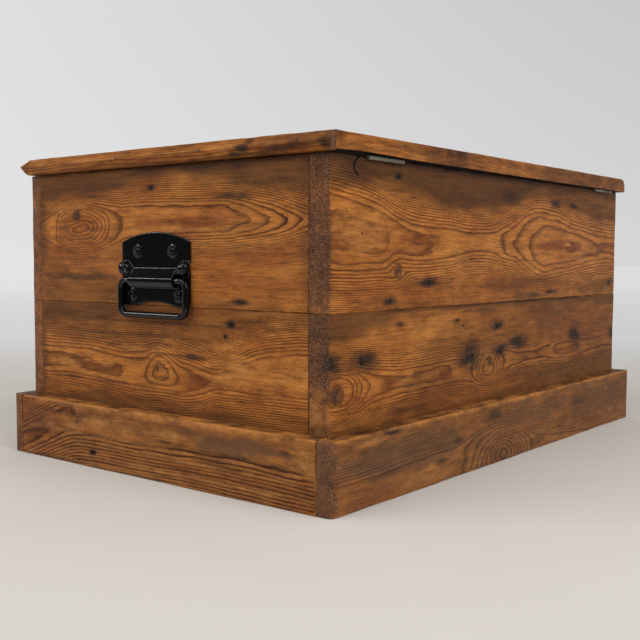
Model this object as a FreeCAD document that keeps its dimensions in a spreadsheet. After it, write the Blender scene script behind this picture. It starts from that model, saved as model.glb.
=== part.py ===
import FreeCAD, Part
import math
import os

import Sketcher

# Storage chest of reclaimed pine: a carcass two boards high on a plinth, a hinged
# lid with edge mouldings, two butt hinges and a drop handle on each end.
# Millimetres. X runs along the length, the front faces -Y, +Z is up.
# The origin is on the floor under the middle of the plinth.

SIZES = {
    # plinth: four boards on edge round the foot, the front and back ones run through
    "plinth_length": 800.0,
    "plinth_depth": 545.0,
    "plinth_height": 78.0,
    "plinth_thickness": 21.0,
    "plinth_arris": 3.5,
    "plinth_corner_radius": 5.0,
    "plinth_block_width": 30.0,
    # carcass: each side is two boards high, the front and back cover the ends
    "side_board_width": 164.0,
    "back_thickness": 27.0,
    "front_thickness": 18.0,
    "end_thickness": 20.0,
    "post_width": 28.0,
    "post_drop": 34.0,
    # bottom boards, nailed up under the sides
    "bottom_lift": 24.0,
    "bottom_thickness": 16.0,
    "bottom_joint": 0.8,
    # lid boards and their battens
    "lid_thickness": 21.0,
    "lid_front_inset": 7.0,
    "lid_back_overhang": 9.0,
    "lid_joint": 0.6,
    "lid_seat_gap": 0.4,
    "lid_batten_width": 45.0,
    "lid_batten_thickness": 18.0,
    "lid_batten_inset": 84.0,
    "lid_batten_end_gap": 18.0,
    # edge moulding: a nosed section with a sloped top and an undercut foot
    "moulding_width": 14.0,
    "moulding_foot": 7.5,
    "moulding_flat": 4.6,
    "moulding_nose_height": 10.5,
    "moulding_lip": 1.5,
    "moulding_lip_rise": 2.0,
    "moulding_slope_foot": 10.3,
    "moulding_slope_height": 14.2,
    # butt hinges: five knuckles each, leaves lying flat between lid and back
    "hinge_length": 65.0,
    "right_hinge_inset": 95.0,
    "left_hinge_inset": 63.0,
    "leaf_width": 22.0,
    "leaf_thickness": 1.1,
    "leaf_gap": 0.2,
    "knuckle_radius": 2.5,
    "knuckle_end_gap": 0.3,
    "knuckle_clearance": 0.4,
    "hinge_pin_radius": 1.3,
    "hinge_pin_fit": 0.04,
    "hinge_pin_head": 0.8,
    "hinge_screw_radius": 1.4,
    "hinge_screw_head_radius": 2.6,
    "hinge_screw_head_height": 1.0,
    "hinge_screw_length": 14.0,
    "hinge_screw_inset": 8.0,
    "hinge_screw_edge": 10.0,
    # handles: a pressed plate with a hood over the bail's top bar and two lugs
    "handle_offset": -7.5,
    "handle_height": 234.0,
    "plate_width": 119.0,
    "plate_thickness": 1.6,
    "plate_top": 57.0,
    "plate_arch_rise": 11.5,
    "plate_drop": 30.5,
    "hollow_width": 70.0,
    "hollow_depth": 5.0,
    "plate_corner_radius": 7.0,
    "hood_top": 14.5,
    "hood_width": 78.0,
    "hood_flare": 7.0,
    "hood_wall": 1.8,
    "hood_band": 5.0,
    "hood_lip": 8.0,
    "lug_width": 13.0,
    "lug_top": 23.0,
    "lug_foot": 5.6,
    "lug_reach": 12.0,
    "lug_wall": 1.8,
    # bail: a closed rounded rectangle of round rod
    "bail_radius": 4.0,
    "bail_span": 113.4,
    "bail_drop": 41.0,
    "bail_corner": 10.0,
    "bail_plate_gap": 0.4,
    "bail_hood_gap": 0.3,
    # round head screws of the handles
    "handle_screw_radius": 2.0,
    "handle_screw_head_radius": 5.0,
    "handle_screw_head_height": 3.0,
    "handle_screw_length": 14.0,
    "handle_screw_slot_width": 1.2,
    "handle_screw_slot_depth": 1.3,
    "upper_screw_spacing": 60.6,
    "lower_screw_spacing": 80.8,
    "upper_screw_rise": 34.5,
    "lower_screw_drop": 17.0,
    # nails, all of one gauge, punched a little below the surface
    "nail_radius": 1.6,
    "nail_clearance": 0.05,
    "nail_set": 0.5,
    "nail_length": 50.0,
    "short_nail_length": 32.0,
    "plinth_nail_height": 59.0,
    "batten_nail_end": 13.0,
    "batten_nail_edge": 42.0,
    "screw_clearance": 0.1,
    "cut_overrun": 5.0,
}

# Places and sizes that follow from the driving ones, in the order they are needed.
WORKED_OUT = {
    "carcass_length": "plinth_length - 2 * plinth_thickness",
    "carcass_depth": "plinth_depth - 2 * plinth_thickness",
    "carcass_foot": "bottom_lift + bottom_thickness",
    "board_seam": "carcass_foot + side_board_width",
    "carcass_top": "board_seam + side_board_width",
    "lid_underside": "carcass_top + lid_seat_gap",
    "back_top": "lid_underside - 2 * leaf_thickness - leaf_gap",
    "inner_back": "carcass_depth / 2 - back_thickness",
    "inner_front": "front_thickness - carcass_depth / 2",
    "inner_end": "carcass_length / 2 - end_thickness",
    "end_board_depth": "inner_back - inner_front",
    "post_height": "carcass_top - carcass_foot - post_drop",
    "bottom_board_depth": "(carcass_depth - 3 * bottom_joint) / 4",
    "lid_back": "carcass_depth / 2 + lid_back_overhang",
    "lid_board_depth": "carcass_depth + lid_back_overhang - lid_front_inset",
    "lid_front": "lid_back - lid_board_depth",
    "lid_plank_depth": "(lid_board_depth - 2 * lid_joint) / 3",
    "lid_nose_front": "lid_front - moulding_width",
    "lid_nose_end": "carcass_length / 2 + moulding_width",
    "lip_edge": "moulding_width - moulding_lip",
    "lip_top": "moulding_nose_height + moulding_lip_rise",
    "batten_place": "inner_end - lid_batten_inset",
    "batten_length": "end_board_depth - 2 * lid_batten_end_gap",
    "axis_back": "carcass_depth / 2 + knuckle_radius + knuckle_clearance",
    "axis_height": "back_top + leaf_thickness + leaf_gap / 2",
    "knuckle_pitch": "hinge_length / 5",
    "knuckle_room": "knuckle_radius + knuckle_end_gap",
    "leaf_reach": "knuckle_radius + knuckle_clearance + leaf_width",
    "bail_axis_out": "plate_thickness + bail_plate_gap + bail_radius",
    "hood_bore": "bail_radius + bail_hood_gap",
    "hood_radius": "hood_bore + hood_wall",
    "hood_top_width": "hood_width + 2 * hood_flare",
    "bail_half": "bail_span / 2",
    "bail_bar": "bail_span - 2 * bail_corner",
    "bail_leg": "bail_drop - 2 * bail_corner",
    "plate_arch_radius": "plate_arch_rise / 2 + plate_width * plate_width / (8 * plate_arch_rise)",
    "plate_hollow_radius": "hollow_depth / 2 + hollow_width * hollow_width / (8 * hollow_depth)",
    "lug_inner": "plate_width / 2 - lug_width",
}

# Places along a board as shares of its width or length.
NAIL_HEIGHT_SHARES = (0.13, 0.5, 0.87)
BOTTOM_NAIL_SHARES = (0.3, 0.7)
PLINTH_NAIL_SHARES = (0.25, 0.75)
PLINTH_LENGTH_SHARES = (-0.36, 0.0, 0.36)
PLINTH_DEPTH_SHARES = (-0.3, 0.3)
MOULDING_END_SHARES = (0.08, 0.36, 0.64, 0.92)
MOULDING_FRONT_SHARES = (-0.42, -0.21, 0.0, 0.21, 0.42)

# Points closer than this are the same point.
SAME_PLACE = 1e-6

doc = FreeCAD.newDocument("storage_chest")
sheet = doc.addObject("Spreadsheet::Sheet", "Sizes")
subparts = []


def fill_sheet():
    """Writes every driving size as a plain number and every worked-out one as a formula."""
    row = 1
    for name, value in SIZES.items():
        sheet.set(f"A{row}", name)
        sheet.set(f"B{row}", str(value))
        sheet.setAlias(f"B{row}", name)
        row += 1
    for name, formula in WORKED_OUT.items():
        sheet.set(f"A{row}", name)
        sheet.set(f"B{row}", f"={formula}")
        sheet.setAlias(f"B{row}", name)
        row += 1
    doc.recompute()


def bound(formula):
    """The formula with each size read from the sheet."""
    words = []
    word = ""
    for sign in str(formula) + " ":
        if sign.isalnum() or sign in "_.":
            word += sign
            continue
        known = word in SIZES or word in WORKED_OUT
        words.append(f"Sizes.{word}" if known else word)
        words.append(sign)
        word = ""
    return "".join(words).strip()


def set_sizes(piece, **formulas):
    """Binds properties of a piece to formulas of the sheet's sizes."""
    for name, formula in formulas.items():
        piece.setExpression(name, bound(formula))


def set_place(piece, x=0, y=0, z=0, axis=None, angle=0):
    """Puts a piece at a place given in formulas, turned about an axis."""
    if axis:
        turn = FreeCAD.Rotation(FreeCAD.Vector(*axis), angle)
        piece.Placement = FreeCAD.Placement(FreeCAD.Vector(), turn)
    for name, formula in (("x", x), ("y", y), ("z", z)):
        piece.setExpression(f"Placement.Base.{name}", bound(formula))


def keep(piece, label):
    """Counts a finished piece as a sub-part under its own label."""
    piece.Label = label
    subparts.append(piece)
    return piece


def box(name, length, width, height, x=0, y=0, z=0):
    piece = doc.addObject("Part::Box", name)
    set_sizes(piece, Length=length, Width=width, Height=height)
    set_place(piece, x, y, z)
    return piece


def rod(name, radius, length, x, y, z, axis=None, angle=0):
    """A round rod that starts at a place and runs along +Z before it is turned."""
    piece = doc.addObject("Part::Cylinder", name)
    set_sizes(piece, Radius=radius, Height=length)
    set_place(piece, x, y, z, axis, angle)
    return piece


def group(name, pieces):
    """Separate solids of one kind as a single group."""
    joined = doc.addObject("Part::Compound", name)
    joined.Links = pieces
    return joined


def fuse(name, pieces):
    joined = doc.addObject("Part::MultiFuse", name)
    joined.Shapes = pieces
    joined.Refine = False
    return joined


def cut(name, base, tool):
    result = doc.addObject("Part::Cut", name)
    result.Base = base
    result.Tool = tool
    result.Refine = False
    return result


def origin_plane(body, role):
    for feature in body.Origin.OriginFeatures:
        if feature.Role == role:
            return feature
    raise RuntimeError(f"{body.Name} has no {role}")


def outline(body, name, role, corners):
    """A closed outline of straight edges, each corner held by two formulas."""
    sketch = body.newObject("Sketcher::SketchObject", name)
    sketch.AttachmentSupport = [(origin_plane(body, role), "")]
    sketch.MapMode = "FlatFace"
    count = len(corners)
    points = []
    for index in range(count):
        turn = 2 * math.pi * index / count
        points.append(FreeCAD.Vector(math.cos(turn), math.sin(turn), 0))
    for index in range(count):
        sketch.addGeometry(Part.LineSegment(points[index], points[(index + 1) % count]), False)
    for index in range(count):
        sketch.addConstraint(Sketcher.Constraint("Coincident", index, 2, (index + 1) % count, 1))
    for index, (across, up) in enumerate(corners):
        for kind, formula in (("DistanceX", across), ("DistanceY", up)):
            number = sketch.addConstraint(Sketcher.Constraint(kind, -1, 1, index, 1, 1.0))
            sketch.setExpression(f"Constraints[{number}]", bound(formula))
    doc.recompute()
    return sketch


def pad(body, name, sketch, length, centred=False, reverse=False):
    feature = body.newObject("PartDesign::Pad", name)
    feature.Profile = sketch
    feature.SideType = "Symmetric" if centred else "One side"
    feature.Reversed = reverse
    set_sizes(feature, Length=length)
    sketch.Visibility = False
    doc.recompute()
    return feature


def pocket(body, name, sketch, length, centred=False, reverse=False):
    """Cuts a pocket and makes sure that it takes wood or metal away."""
    before = body.Shape.Volume
    feature = body.newObject("PartDesign::Pocket", name)
    feature.Profile = sketch
    feature.SideType = "Symmetric" if centred else "One side"
    feature.Reversed = reverse
    set_sizes(feature, Length=length)
    sketch.Visibility = False
    doc.recompute()
    if not body.Shape.Volume < before:
        raise RuntimeError(f"{name} cuts nothing")
    return feature


# Nails

DIRECTIONS = {
    "+x": ((0, 1, 0), 90),
    "-x": ((0, 1, 0), -90),
    "+y": ((1, 0, 0), -90),
    "-y": ((1, 0, 0), 90),
    "+z": None,
}


def nail_group(name, places, length):
    """One group of nails and the matching group of holes that they sit in.

    A place is a direction and the point on the surface where the nail goes in.
    """
    nails = []
    holes = []
    for index, (direction, x, y, z) in enumerate(places):
        axis, angle = DIRECTIONS[direction] or (None, 0)
        start = {"x": x, "y": y, "z": z}
        along = direction[1]
        start[along] = f"{start[along]} {direction[0]} nail_set"
        nails.append(rod(f"{name}_nail_{index}", "nail_radius", length,
                         start["x"], start["y"], start["z"], axis, angle))
        holes.append(rod(f"{name}_hole_{index}", "nail_radius + nail_clearance",
                         f"{length} + nail_set + nail_clearance", x, y, z, axis, angle))
    keep(group(name, nails), name)
    return group(f"{name}_holes", holes)


def make_nails():
    """Every group of nails, and the holes by the name of their group."""
    end_middle = "carcass_length / 2 - end_thickness / 2"
    heights = [f"{foot} + side_board_width * {share}"
               for foot in ("carcass_foot", "board_seam") for share in NAIL_HEIGHT_SHARES]
    sides = ("", "-")
    holes = {}
    holes["back_nails"] = nail_group("back_nails", [
        ("-y", f"{side}({end_middle})", "carcass_depth / 2", height)
        for side in sides for height in heights], "nail_length")
    holes["front_nails"] = nail_group("front_nails", [
        ("+y", f"{side}({end_middle})", "-carcass_depth / 2", height)
        for side in sides for height in heights], "nail_length")
    holes["bottom_nails"] = nail_group("bottom_nails", [
        ("+z", f"{side}({end_middle})",
         f"-carcass_depth / 2 + {board} * (bottom_board_depth + bottom_joint) + bottom_board_depth * {share}",
         "bottom_lift")
        for side in sides for board in range(4) for share in BOTTOM_NAIL_SHARES], "short_nail_length")
    corner = "plinth_length / 2 - plinth_thickness / 2"
    holes["plinth_corner_nails"] = nail_group("plinth_corner_nails", [
        (way, f"{side}({corner})", face, f"plinth_height * {share}")
        for way, face in (("-y", "plinth_depth / 2"), ("+y", "-plinth_depth / 2"))
        for side in sides for share in PLINTH_NAIL_SHARES], "nail_length")
    faces = [(way, f"carcass_length * {share}", face, "plinth_nail_height")
             for way, face in (("-y", "plinth_depth / 2"), ("+y", "-plinth_depth / 2"))
             for share in PLINTH_LENGTH_SHARES]
    faces += [(way, face, f"carcass_depth * {share}", "plinth_nail_height")
              for way, face in (("-x", "plinth_length / 2"), ("+x", "-plinth_length / 2"))
              for share in PLINTH_DEPTH_SHARES]
    holes["plinth_face_nails"] = nail_group("plinth_face_nails", faces, "short_nail_length")
    nose = "lid_underside + moulding_nose_height"
    edges = [(way, face, f"lid_front + lid_board_depth * {share}", nose)
             for way, face in (("-x", "lid_nose_end"), ("+x", "-lid_nose_end"))
             for share in MOULDING_END_SHARES]
    edges += [("+y", f"carcass_length * {share}", "lid_nose_front", nose) for share in MOULDING_FRONT_SHARES]
    holes["moulding_nails"] = nail_group("moulding_nails", edges, "short_nail_length")
    joint = "lid_plank_depth / 2 + lid_joint / 2"
    middle = "lid_front + lid_board_depth / 2"
    along = ["inner_front + lid_batten_end_gap + batten_nail_end",
             "inner_back - lid_batten_end_gap - batten_nail_end"]
    along += [f"{middle} {way} ({joint} {turn} batten_nail_edge)" for way in "+-" for turn in "+-"]
    holes["batten_nails"] = nail_group("batten_nails", [
        ("+z", f"{side}batten_place", place, "lid_underside - lid_batten_thickness")
        for side in sides for place in along], "short_nail_length")
    return holes


# Carcass

def make_side_boards(holes, hinge_screw_holes, handle_screw_holes):
    """The eight boards of the four sides."""
    for level, foot, top in (("lower", "carcass_foot", "board_seam"), ("upper", "board_seam", "carcass_top")):
        back_edge = "back_top" if level == "upper" else top
        back = box(f"back_{level}_blank", "carcass_length", "back_thickness", f"{back_edge} - {foot}",
                   "-carcass_length / 2", "inner_back", foot)
        tools = [holes["back_nails"]]
        if level == "lower":
            tools.append(holes["plinth_face_nails"])
        else:
            tools.append(hinge_screw_holes)
        keep(cut(f"back_{level}_board", back, group(f"back_{level}_cuts", tools)), f"back_{level}_board")
        front = box(f"front_{level}_blank", "carcass_length", "front_thickness", f"{top} - {foot}",
                    "-carcass_length / 2", "-carcass_depth / 2", foot)
        tools = [holes["front_nails"]]
        if level == "lower":
            tools.append(holes["plinth_face_nails"])
        keep(cut(f"front_{level}_board", front, group(f"front_{level}_cuts", tools)), f"front_{level}_board")
        for side, edge in (("right", "inner_end"), ("left", "-carcass_length / 2")):
            end = box(f"{side}_end_{level}_blank", "end_thickness", "end_board_depth", f"{top} - {foot}",
                      edge, "inner_front", foot)
            tools = [holes["back_nails"], holes["front_nails"]]
            if level == "lower":
                tools += [holes["plinth_face_nails"], holes["bottom_nails"]]
            tools.append(handle_screw_holes[side])
            name = f"{side}_end_{level}_board"
            keep(cut(name, end, group(f"{name}_cuts", tools)), name)


def make_posts():
    """A square post in each inner corner, which ties the two boards of each side."""
    for side, x in (("right", "inner_end - post_width"), ("left", "-inner_end")):
        for face, y in (("back", "inner_back - post_width"), ("front", "inner_front")):
            name = f"{face}_{side}_corner_post"
            keep(box(name, "post_width", "post_width", "post_height", x, y, "carcass_foot"), name)


def make_bottom(holes):
    """Four boards along the length, nailed up under the end boards."""
    for number in range(4):
        name = f"bottom_board_{number + 1}"
        board = box(f"{name}_blank", "carcass_length", "bottom_board_depth", "bottom_thickness",
                    "-carcass_length / 2",
                    f"{number} * (bottom_board_depth + bottom_joint) - carcass_depth / 2", "bottom_lift")
        keep(cut(name, board, holes["bottom_nails"]), name)


def edge_names(body, wanted):
    """Names of the body's edges whose two ends both pass the test."""
    return [f"Edge{number}" for number, edge in enumerate(body.Shape.Edges, 1)
            if len(edge.Vertexes) == 2 and wanted(edge.Vertexes[0].Point, edge.Vertexes[1].Point)]


def dress(body, kind, name, edges, **sizes):
    """Rounds or bevels named edges of the body as it stands."""
    base = body.Tip
    feature = body.newObject(kind, name)
    feature.Base = (base, edges)
    set_sizes(feature, **sizes)
    doc.recompute()


def plinth_board(name, length, way, x, y, cuts, rounded):
    """A plinth board with its top outer arris planed off, its outer face turned by way degrees."""
    body = doc.addObject("PartDesign::Body", f"{name}_body")
    plan = outline(body, f"{name}_plan", "XY_Plane", [
        (f"-{length} / 2", "0"), (f"{length} / 2", "0"),
        (f"{length} / 2", "plinth_thickness"), (f"-{length} / 2", "plinth_thickness")])
    pad(body, f"{name}_pad", plan, "plinth_height")
    outer = float(sheet.get("plinth_thickness"))
    top = float(sheet.get("plinth_height"))
    if rounded:
        upright = edge_names(body, lambda one, two: (
            math.hypot(one.x - two.x, one.y - two.y) < SAME_PLACE and abs(one.y - outer) < SAME_PLACE))
        dress(body, "PartDesign::Fillet", f"{name}_corners", upright, Radius="plinth_corner_radius")
    upper = edge_names(body, lambda one, two: (
        abs(one.z - top) < SAME_PLACE and abs(two.z - top) < SAME_PLACE
        and (max(one.y, two.y) > SAME_PLACE if rounded else min(one.y, two.y) > SAME_PLACE)))
    dress(body, "PartDesign::Chamfer", f"{name}_arris", upper, Size="plinth_arris")
    set_place(body, x, y, 0, (0, 0, 1), way)
    keep(cut(name, body, group(f"{name}_cuts", cuts)), name)


def make_plinth(holes):
    corner, face = holes["plinth_corner_nails"], holes["plinth_face_nails"]
    plinth_board("plinth_back", "plinth_length", 0, 0, "carcass_depth / 2", [corner, face], True)
    plinth_board("plinth_front", "plinth_length", 180, 0, "-carcass_depth / 2", [corner, face], True)
    plinth_board("plinth_left", "carcass_depth", 90, "-carcass_length / 2", 0, [corner, face], False)
    plinth_board("plinth_right", "carcass_depth", -90, "carcass_length / 2", 0, [corner, face], False)
    blocks = []
    for x in ("-carcass_length / 2", "carcass_length / 2 - plinth_block_width"):
        for y in ("-carcass_depth / 2", "carcass_depth / 2 - plinth_block_width"):
            blocks.append(box(f"plinth_block_{len(blocks)}", "plinth_block_width", "plinth_block_width",
                              "bottom_lift", x, y, 0))
    keep(group("plinth_glue_blocks", blocks), "plinth_glue_blocks")


# Lid

def make_lid_boards(holes, knuckle_slots, hinge_screw_holes):
    """Three planks along the length; the back one is notched for the hinge knuckles."""
    for number, place in enumerate(("front", "middle", "back")):
        name = f"lid_{place}_board"
        plank = box(f"{name}_blank", "carcass_length", "lid_plank_depth", "lid_thickness",
                    "-carcass_length / 2", f"lid_front + {number} * (lid_plank_depth + lid_joint)",
                    "lid_underside")
        tools = [holes["batten_nails"], holes["moulding_nails"]]
        if place == "back":
            tools += [knuckle_slots, hinge_screw_holes]
        keep(cut(name, plank, group(f"{name}_cuts", tools)), name)
    for side, place in (("right", "batten_place"), ("left", "-batten_place")):
        name = f"lid_{side}_batten"
        batten = box(f"{name}_blank", "lid_batten_width", "batten_length", "lid_batten_thickness",
                     f"{place} - lid_batten_width / 2", "inner_front + lid_batten_end_gap",
                     "lid_underside - lid_batten_thickness")
        keep(cut(name, batten, holes["batten_nails"]), name)


def moulding_section(edge, sign):
    """Corners of the nosed section, outward from the lid's edge, as places in its plane."""
    return [(f"{sign}({edge} + {width})", f"lid_underside + {height}") for width, height in (
        ("0", "0"), ("moulding_foot", "0"), ("moulding_width", "moulding_nose_height"),
        ("lip_edge", "lip_top"), ("moulding_slope_foot", "moulding_slope_height"),
        ("moulding_flat", "lid_thickness"), ("0", "lid_thickness"))]


def mitre(body, name, corners):
    """Takes the waste beyond a mitre away, over the full height of the section."""
    waste = outline(body, name, "XY_Plane", corners)
    pocket(body, f"{name}_cut", waste, "2 * (lid_underside + lid_thickness + cut_overrun)", centred=True)


def make_mouldings(holes):
    """The end mouldings stop at the lid's back edge; the front corners are mitred."""
    half = "carcass_length / 2"
    beyond = "lid_nose_end + cut_overrun"
    for side, sign in (("right", ""), ("left", "-")):
        name = f"lid_{side}_moulding"
        body = doc.addObject("PartDesign::Body", f"{name}_body")
        section = outline(body, f"{name}_section", "XZ_Plane", moulding_section(half, sign))
        section.setExpression("AttachmentOffset.Base.z", bound("-lid_back"))
        pad(body, f"{name}_pad", section, "lid_back - lid_nose_front")
        mitre(body, f"{name}_mitre", [
            (f"{sign}({half})", "lid_front"), (f"{sign}({beyond})", "lid_nose_front - cut_overrun"),
            (f"{sign}({half})", "lid_nose_front - cut_overrun")])
        keep(cut(name, body, holes["moulding_nails"]), name)
    name = "lid_front_moulding"
    body = doc.addObject("PartDesign::Body", f"{name}_body")
    section = outline(body, f"{name}_section", "YZ_Plane", moulding_section("-lid_front", "-"))
    pad(body, f"{name}_pad", section, "2 * lid_nose_end", centred=True)
    for side, sign in (("right", ""), ("left", "-")):
        mitre(body, f"{name}_{side}_mitre", [
            (f"{sign}({half})", "lid_front"), (f"{sign}({beyond})", "lid_nose_front - cut_overrun"),
            (f"{sign}({beyond})", "lid_front")])
    keep(cut(name, body, holes["moulding_nails"]), name)


# Hinges

KNUCKLES = {"carcass": (0, 2, 4), "lid": (1, 3)}
HINGE_PLACES = {
    "right": "carcass_length / 2 - right_hinge_inset",
    "left": "left_hinge_inset - carcass_length / 2",
}
HINGE_SCREW_SHARES = (-1, 0, 1)


def hinge_screw(name, x, upward, room):
    """A countersunk screw of a leaf, or the hole for it where room is a clearance."""
    face = f"axis_height {'+' if upward else '-'} leaf_gap / 2"
    y = "axis_back - knuckle_radius - knuckle_clearance - hinge_screw_edge"
    turn = None if upward else (1, 0, 0)
    head = doc.addObject("Part::Cone", f"{name}_head")
    set_sizes(head, Radius1=f"hinge_screw_head_radius + {room}", Radius2=f"hinge_screw_radius + {room}",
              Height=f"hinge_screw_head_height + {room}")
    set_place(head, x, y, face, turn, 180 if turn else 0)
    shank = rod(f"{name}_shank", f"hinge_screw_radius + {room}", f"hinge_screw_length + {room}",
                x, y, face, turn, 180 if turn else 0)
    return fuse(name, [head, shank])


def make_hinge_screws():
    """The screws of both hinges by leaf, and the holes that they sit in."""
    holes = {}
    for leaf, upward in (("carcass", False), ("lid", True)):
        screws = []
        sockets = []
        for side, centre in HINGE_PLACES.items():
            for share in HINGE_SCREW_SHARES:
                x = f"{centre} + {share} * (hinge_length / 2 - hinge_screw_inset)"
                number = len(screws)
                screws.append(hinge_screw(f"{leaf}_hinge_screw_{number}", x, upward, "0"))
                sockets.append(hinge_screw(f"{leaf}_hinge_socket_{number}", x, upward, "screw_clearance"))
        name = f"hinge_{leaf}_screws"
        keep(group(name, screws), name)
        holes[leaf] = group(f"{name}_holes", sockets)
    return holes


def hinge_leaf(side, leaf, centre, screw_holes):
    """A leaf: a flat plate and a barrel on the pin's axis, with gaps for the other's knuckles."""
    name = f"{side}_hinge_{leaf}_leaf"
    foot = "axis_height + leaf_gap / 2" if leaf == "lid" else "axis_height - leaf_gap / 2 - leaf_thickness"
    plate = box(f"{name}_plate", "hinge_length", "leaf_reach - hinge_pin_radius / 2", "leaf_thickness",
                f"{centre} - hinge_length / 2", "axis_back - leaf_reach", foot)
    barrel = rod(f"{name}_barrel", "knuckle_radius", "hinge_length",
                 f"{centre} - hinge_length / 2", "axis_back", "axis_height", (0, 1, 0), 90)
    rooms = [rod(f"{name}_room_{number}", "knuckle_room", "knuckle_pitch + knuckle_end_gap",
                 f"{centre} - hinge_length / 2 + {number} * knuckle_pitch - knuckle_end_gap / 2",
                 "axis_back", "axis_height", (0, 1, 0), 90)
             for number in range(5) if number not in KNUCKLES[leaf]]
    whole = fuse(f"{name}_whole", [plate, barrel])
    solid = cut(f"{name}_solid", whole, group(f"{name}_rooms", rooms))
    bore = rod(f"{name}_bore", "hinge_pin_radius + hinge_pin_fit", "hinge_length + 2 * cut_overrun",
               f"{centre} - hinge_length / 2 - cut_overrun", "axis_back", "axis_height", (0, 1, 0), 90)
    drilled = cut(f"{name}_drilled", solid, bore)
    keep(cut(name, drilled, screw_holes), name)


def make_hinges(screw_holes):
    """Both hinges with their pins, and the slots that the lid needs for the knuckles."""
    slots = []
    for side, centre in HINGE_PLACES.items():
        for leaf in KNUCKLES:
            hinge_leaf(side, leaf, centre, screw_holes[leaf])
        name = f"{side}_hinge_pin"
        shank = rod(f"{name}_shank", "hinge_pin_radius", "hinge_length",
                    f"{centre} - hinge_length / 2", "axis_back", "axis_height", (0, 1, 0), 90)
        heads = [rod(f"{name}_head_{number}", "knuckle_radius", "hinge_pin_head", x,
                     "axis_back", "axis_height", (0, 1, 0), 90)
                 for number, x in enumerate((f"{centre} - hinge_length / 2 - hinge_pin_head",
                                             f"{centre} + hinge_length / 2"))]
        keep(fuse(name, [shank] + heads), name)
        slots.append(box(f"{side}_hinge_slot", "hinge_length + 4 * hinge_pin_head",
                         "lid_back - axis_back + knuckle_room + cut_overrun",
                         "2 * knuckle_room",
                         f"{centre} - hinge_length / 2 - 2 * hinge_pin_head",
                         "axis_back - knuckle_room", "axis_height - knuckle_room"))
    return group("hinge_slots", slots)


# Handles, made about their own origin: the bail's axis height on the wall, outward is +X

HANDLE_SIDES = {"right": ("carcass_length / 2", 0), "left": ("-carcass_length / 2", 180)}


def place_handle(piece, side):
    wall, turn = HANDLE_SIDES[side]
    set_place(piece, wall, "handle_offset", "handle_height", (0, 0, 1), turn)
    return piece


def screw_places():
    """The four screws as places across and up from the handle's origin."""
    return [(f"{sign}{spacing} / 2", height)
            for spacing, height in (("upper_screw_spacing", "upper_screw_rise"),
                                    ("lower_screw_spacing", "-lower_screw_drop"))
            for sign in ("-", "")]


def handle_screw(name, across, up):
    """A round head screw: a dome with a slot on a plain shank."""
    dome = doc.addObject("Part::Ellipsoid", f"{name}_dome")
    set_sizes(dome, Radius1="handle_screw_head_height", Radius2="handle_screw_head_radius",
              Radius3="handle_screw_head_radius")
    dome.Angle1 = 0
    set_place(dome, "plate_thickness", across, up, (0, 1, 0), 90)
    slot = box(f"{name}_slot", "handle_screw_slot_depth", "handle_screw_slot_width",
               "2 * handle_screw_head_radius",
               "plate_thickness + handle_screw_head_height - handle_screw_slot_depth",
               f"{across} - handle_screw_slot_width / 2", f"{up} - handle_screw_head_radius")
    head = cut(f"{name}_head", dome, slot)
    shank = rod(f"{name}_shank", "handle_screw_radius", "handle_screw_length + plate_thickness",
                "-handle_screw_length", across, up, (0, 1, 0), 90)
    return fuse(name, [head, shank])


def make_handle_screws():
    """The screws of both handles, and the holes for them in the ends by side."""
    holes = {}
    for side in HANDLE_SIDES:
        name = f"{side}_handle_screws"
        screws = [handle_screw(f"{name}_{number}", across, up)
                  for number, (across, up) in enumerate(screw_places())]
        keep(place_handle(group(name, screws), side), name)
        drills = [rod(f"{side}_handle_hole_{number}", "handle_screw_radius + screw_clearance",
                      "handle_screw_length + screw_clearance + cut_overrun",
                      "-handle_screw_length - screw_clearance", across, up, (0, 1, 0), 90)
                  for number, (across, up) in enumerate(screw_places())]
        holes[side] = place_handle(group(f"{side}_handle_holes", drills), side)
    return holes


def handle_hood(name):
    """The hood: a slope down to an upright band, closed round the bail's top bar as a tunnel."""
    body = doc.addObject("PartDesign::Body", f"{name}_hood_body")
    section = outline(body, f"{name}_hood_section", "XZ_Plane", [
        ("plate_thickness / 2", "hood_top"), ("plate_thickness", "hood_top"),
        ("bail_axis_out + hood_radius", "hood_band / 2"),
        ("bail_axis_out + hood_radius", "-hood_band / 2"),
        ("bail_axis_out + hood_bore / 2", "-hood_lip"),
        ("plate_thickness / 2", "-hood_lip")])
    pad(body, f"{name}_hood_pad", section, "hood_top_width", centred=True)
    for side, sign in (("right", ""), ("left", "-")):
        edge = f"{sign}(hood_top_width / 2 + cut_overrun)"
        waste = outline(body, f"{name}_hood_{side}", "YZ_Plane", [
            (f"{sign}hood_width / 2", "-hood_lip - cut_overrun"), (f"{sign}hood_width / 2", "hood_radius"),
            (f"{sign}hood_top_width / 2", "hood_top"), (edge, "hood_top"),
            (edge, "-hood_lip - cut_overrun")])
        pocket(body, f"{name}_hood_{side}_cut", waste, "4 * bail_axis_out", centred=True)
    return body


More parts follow.
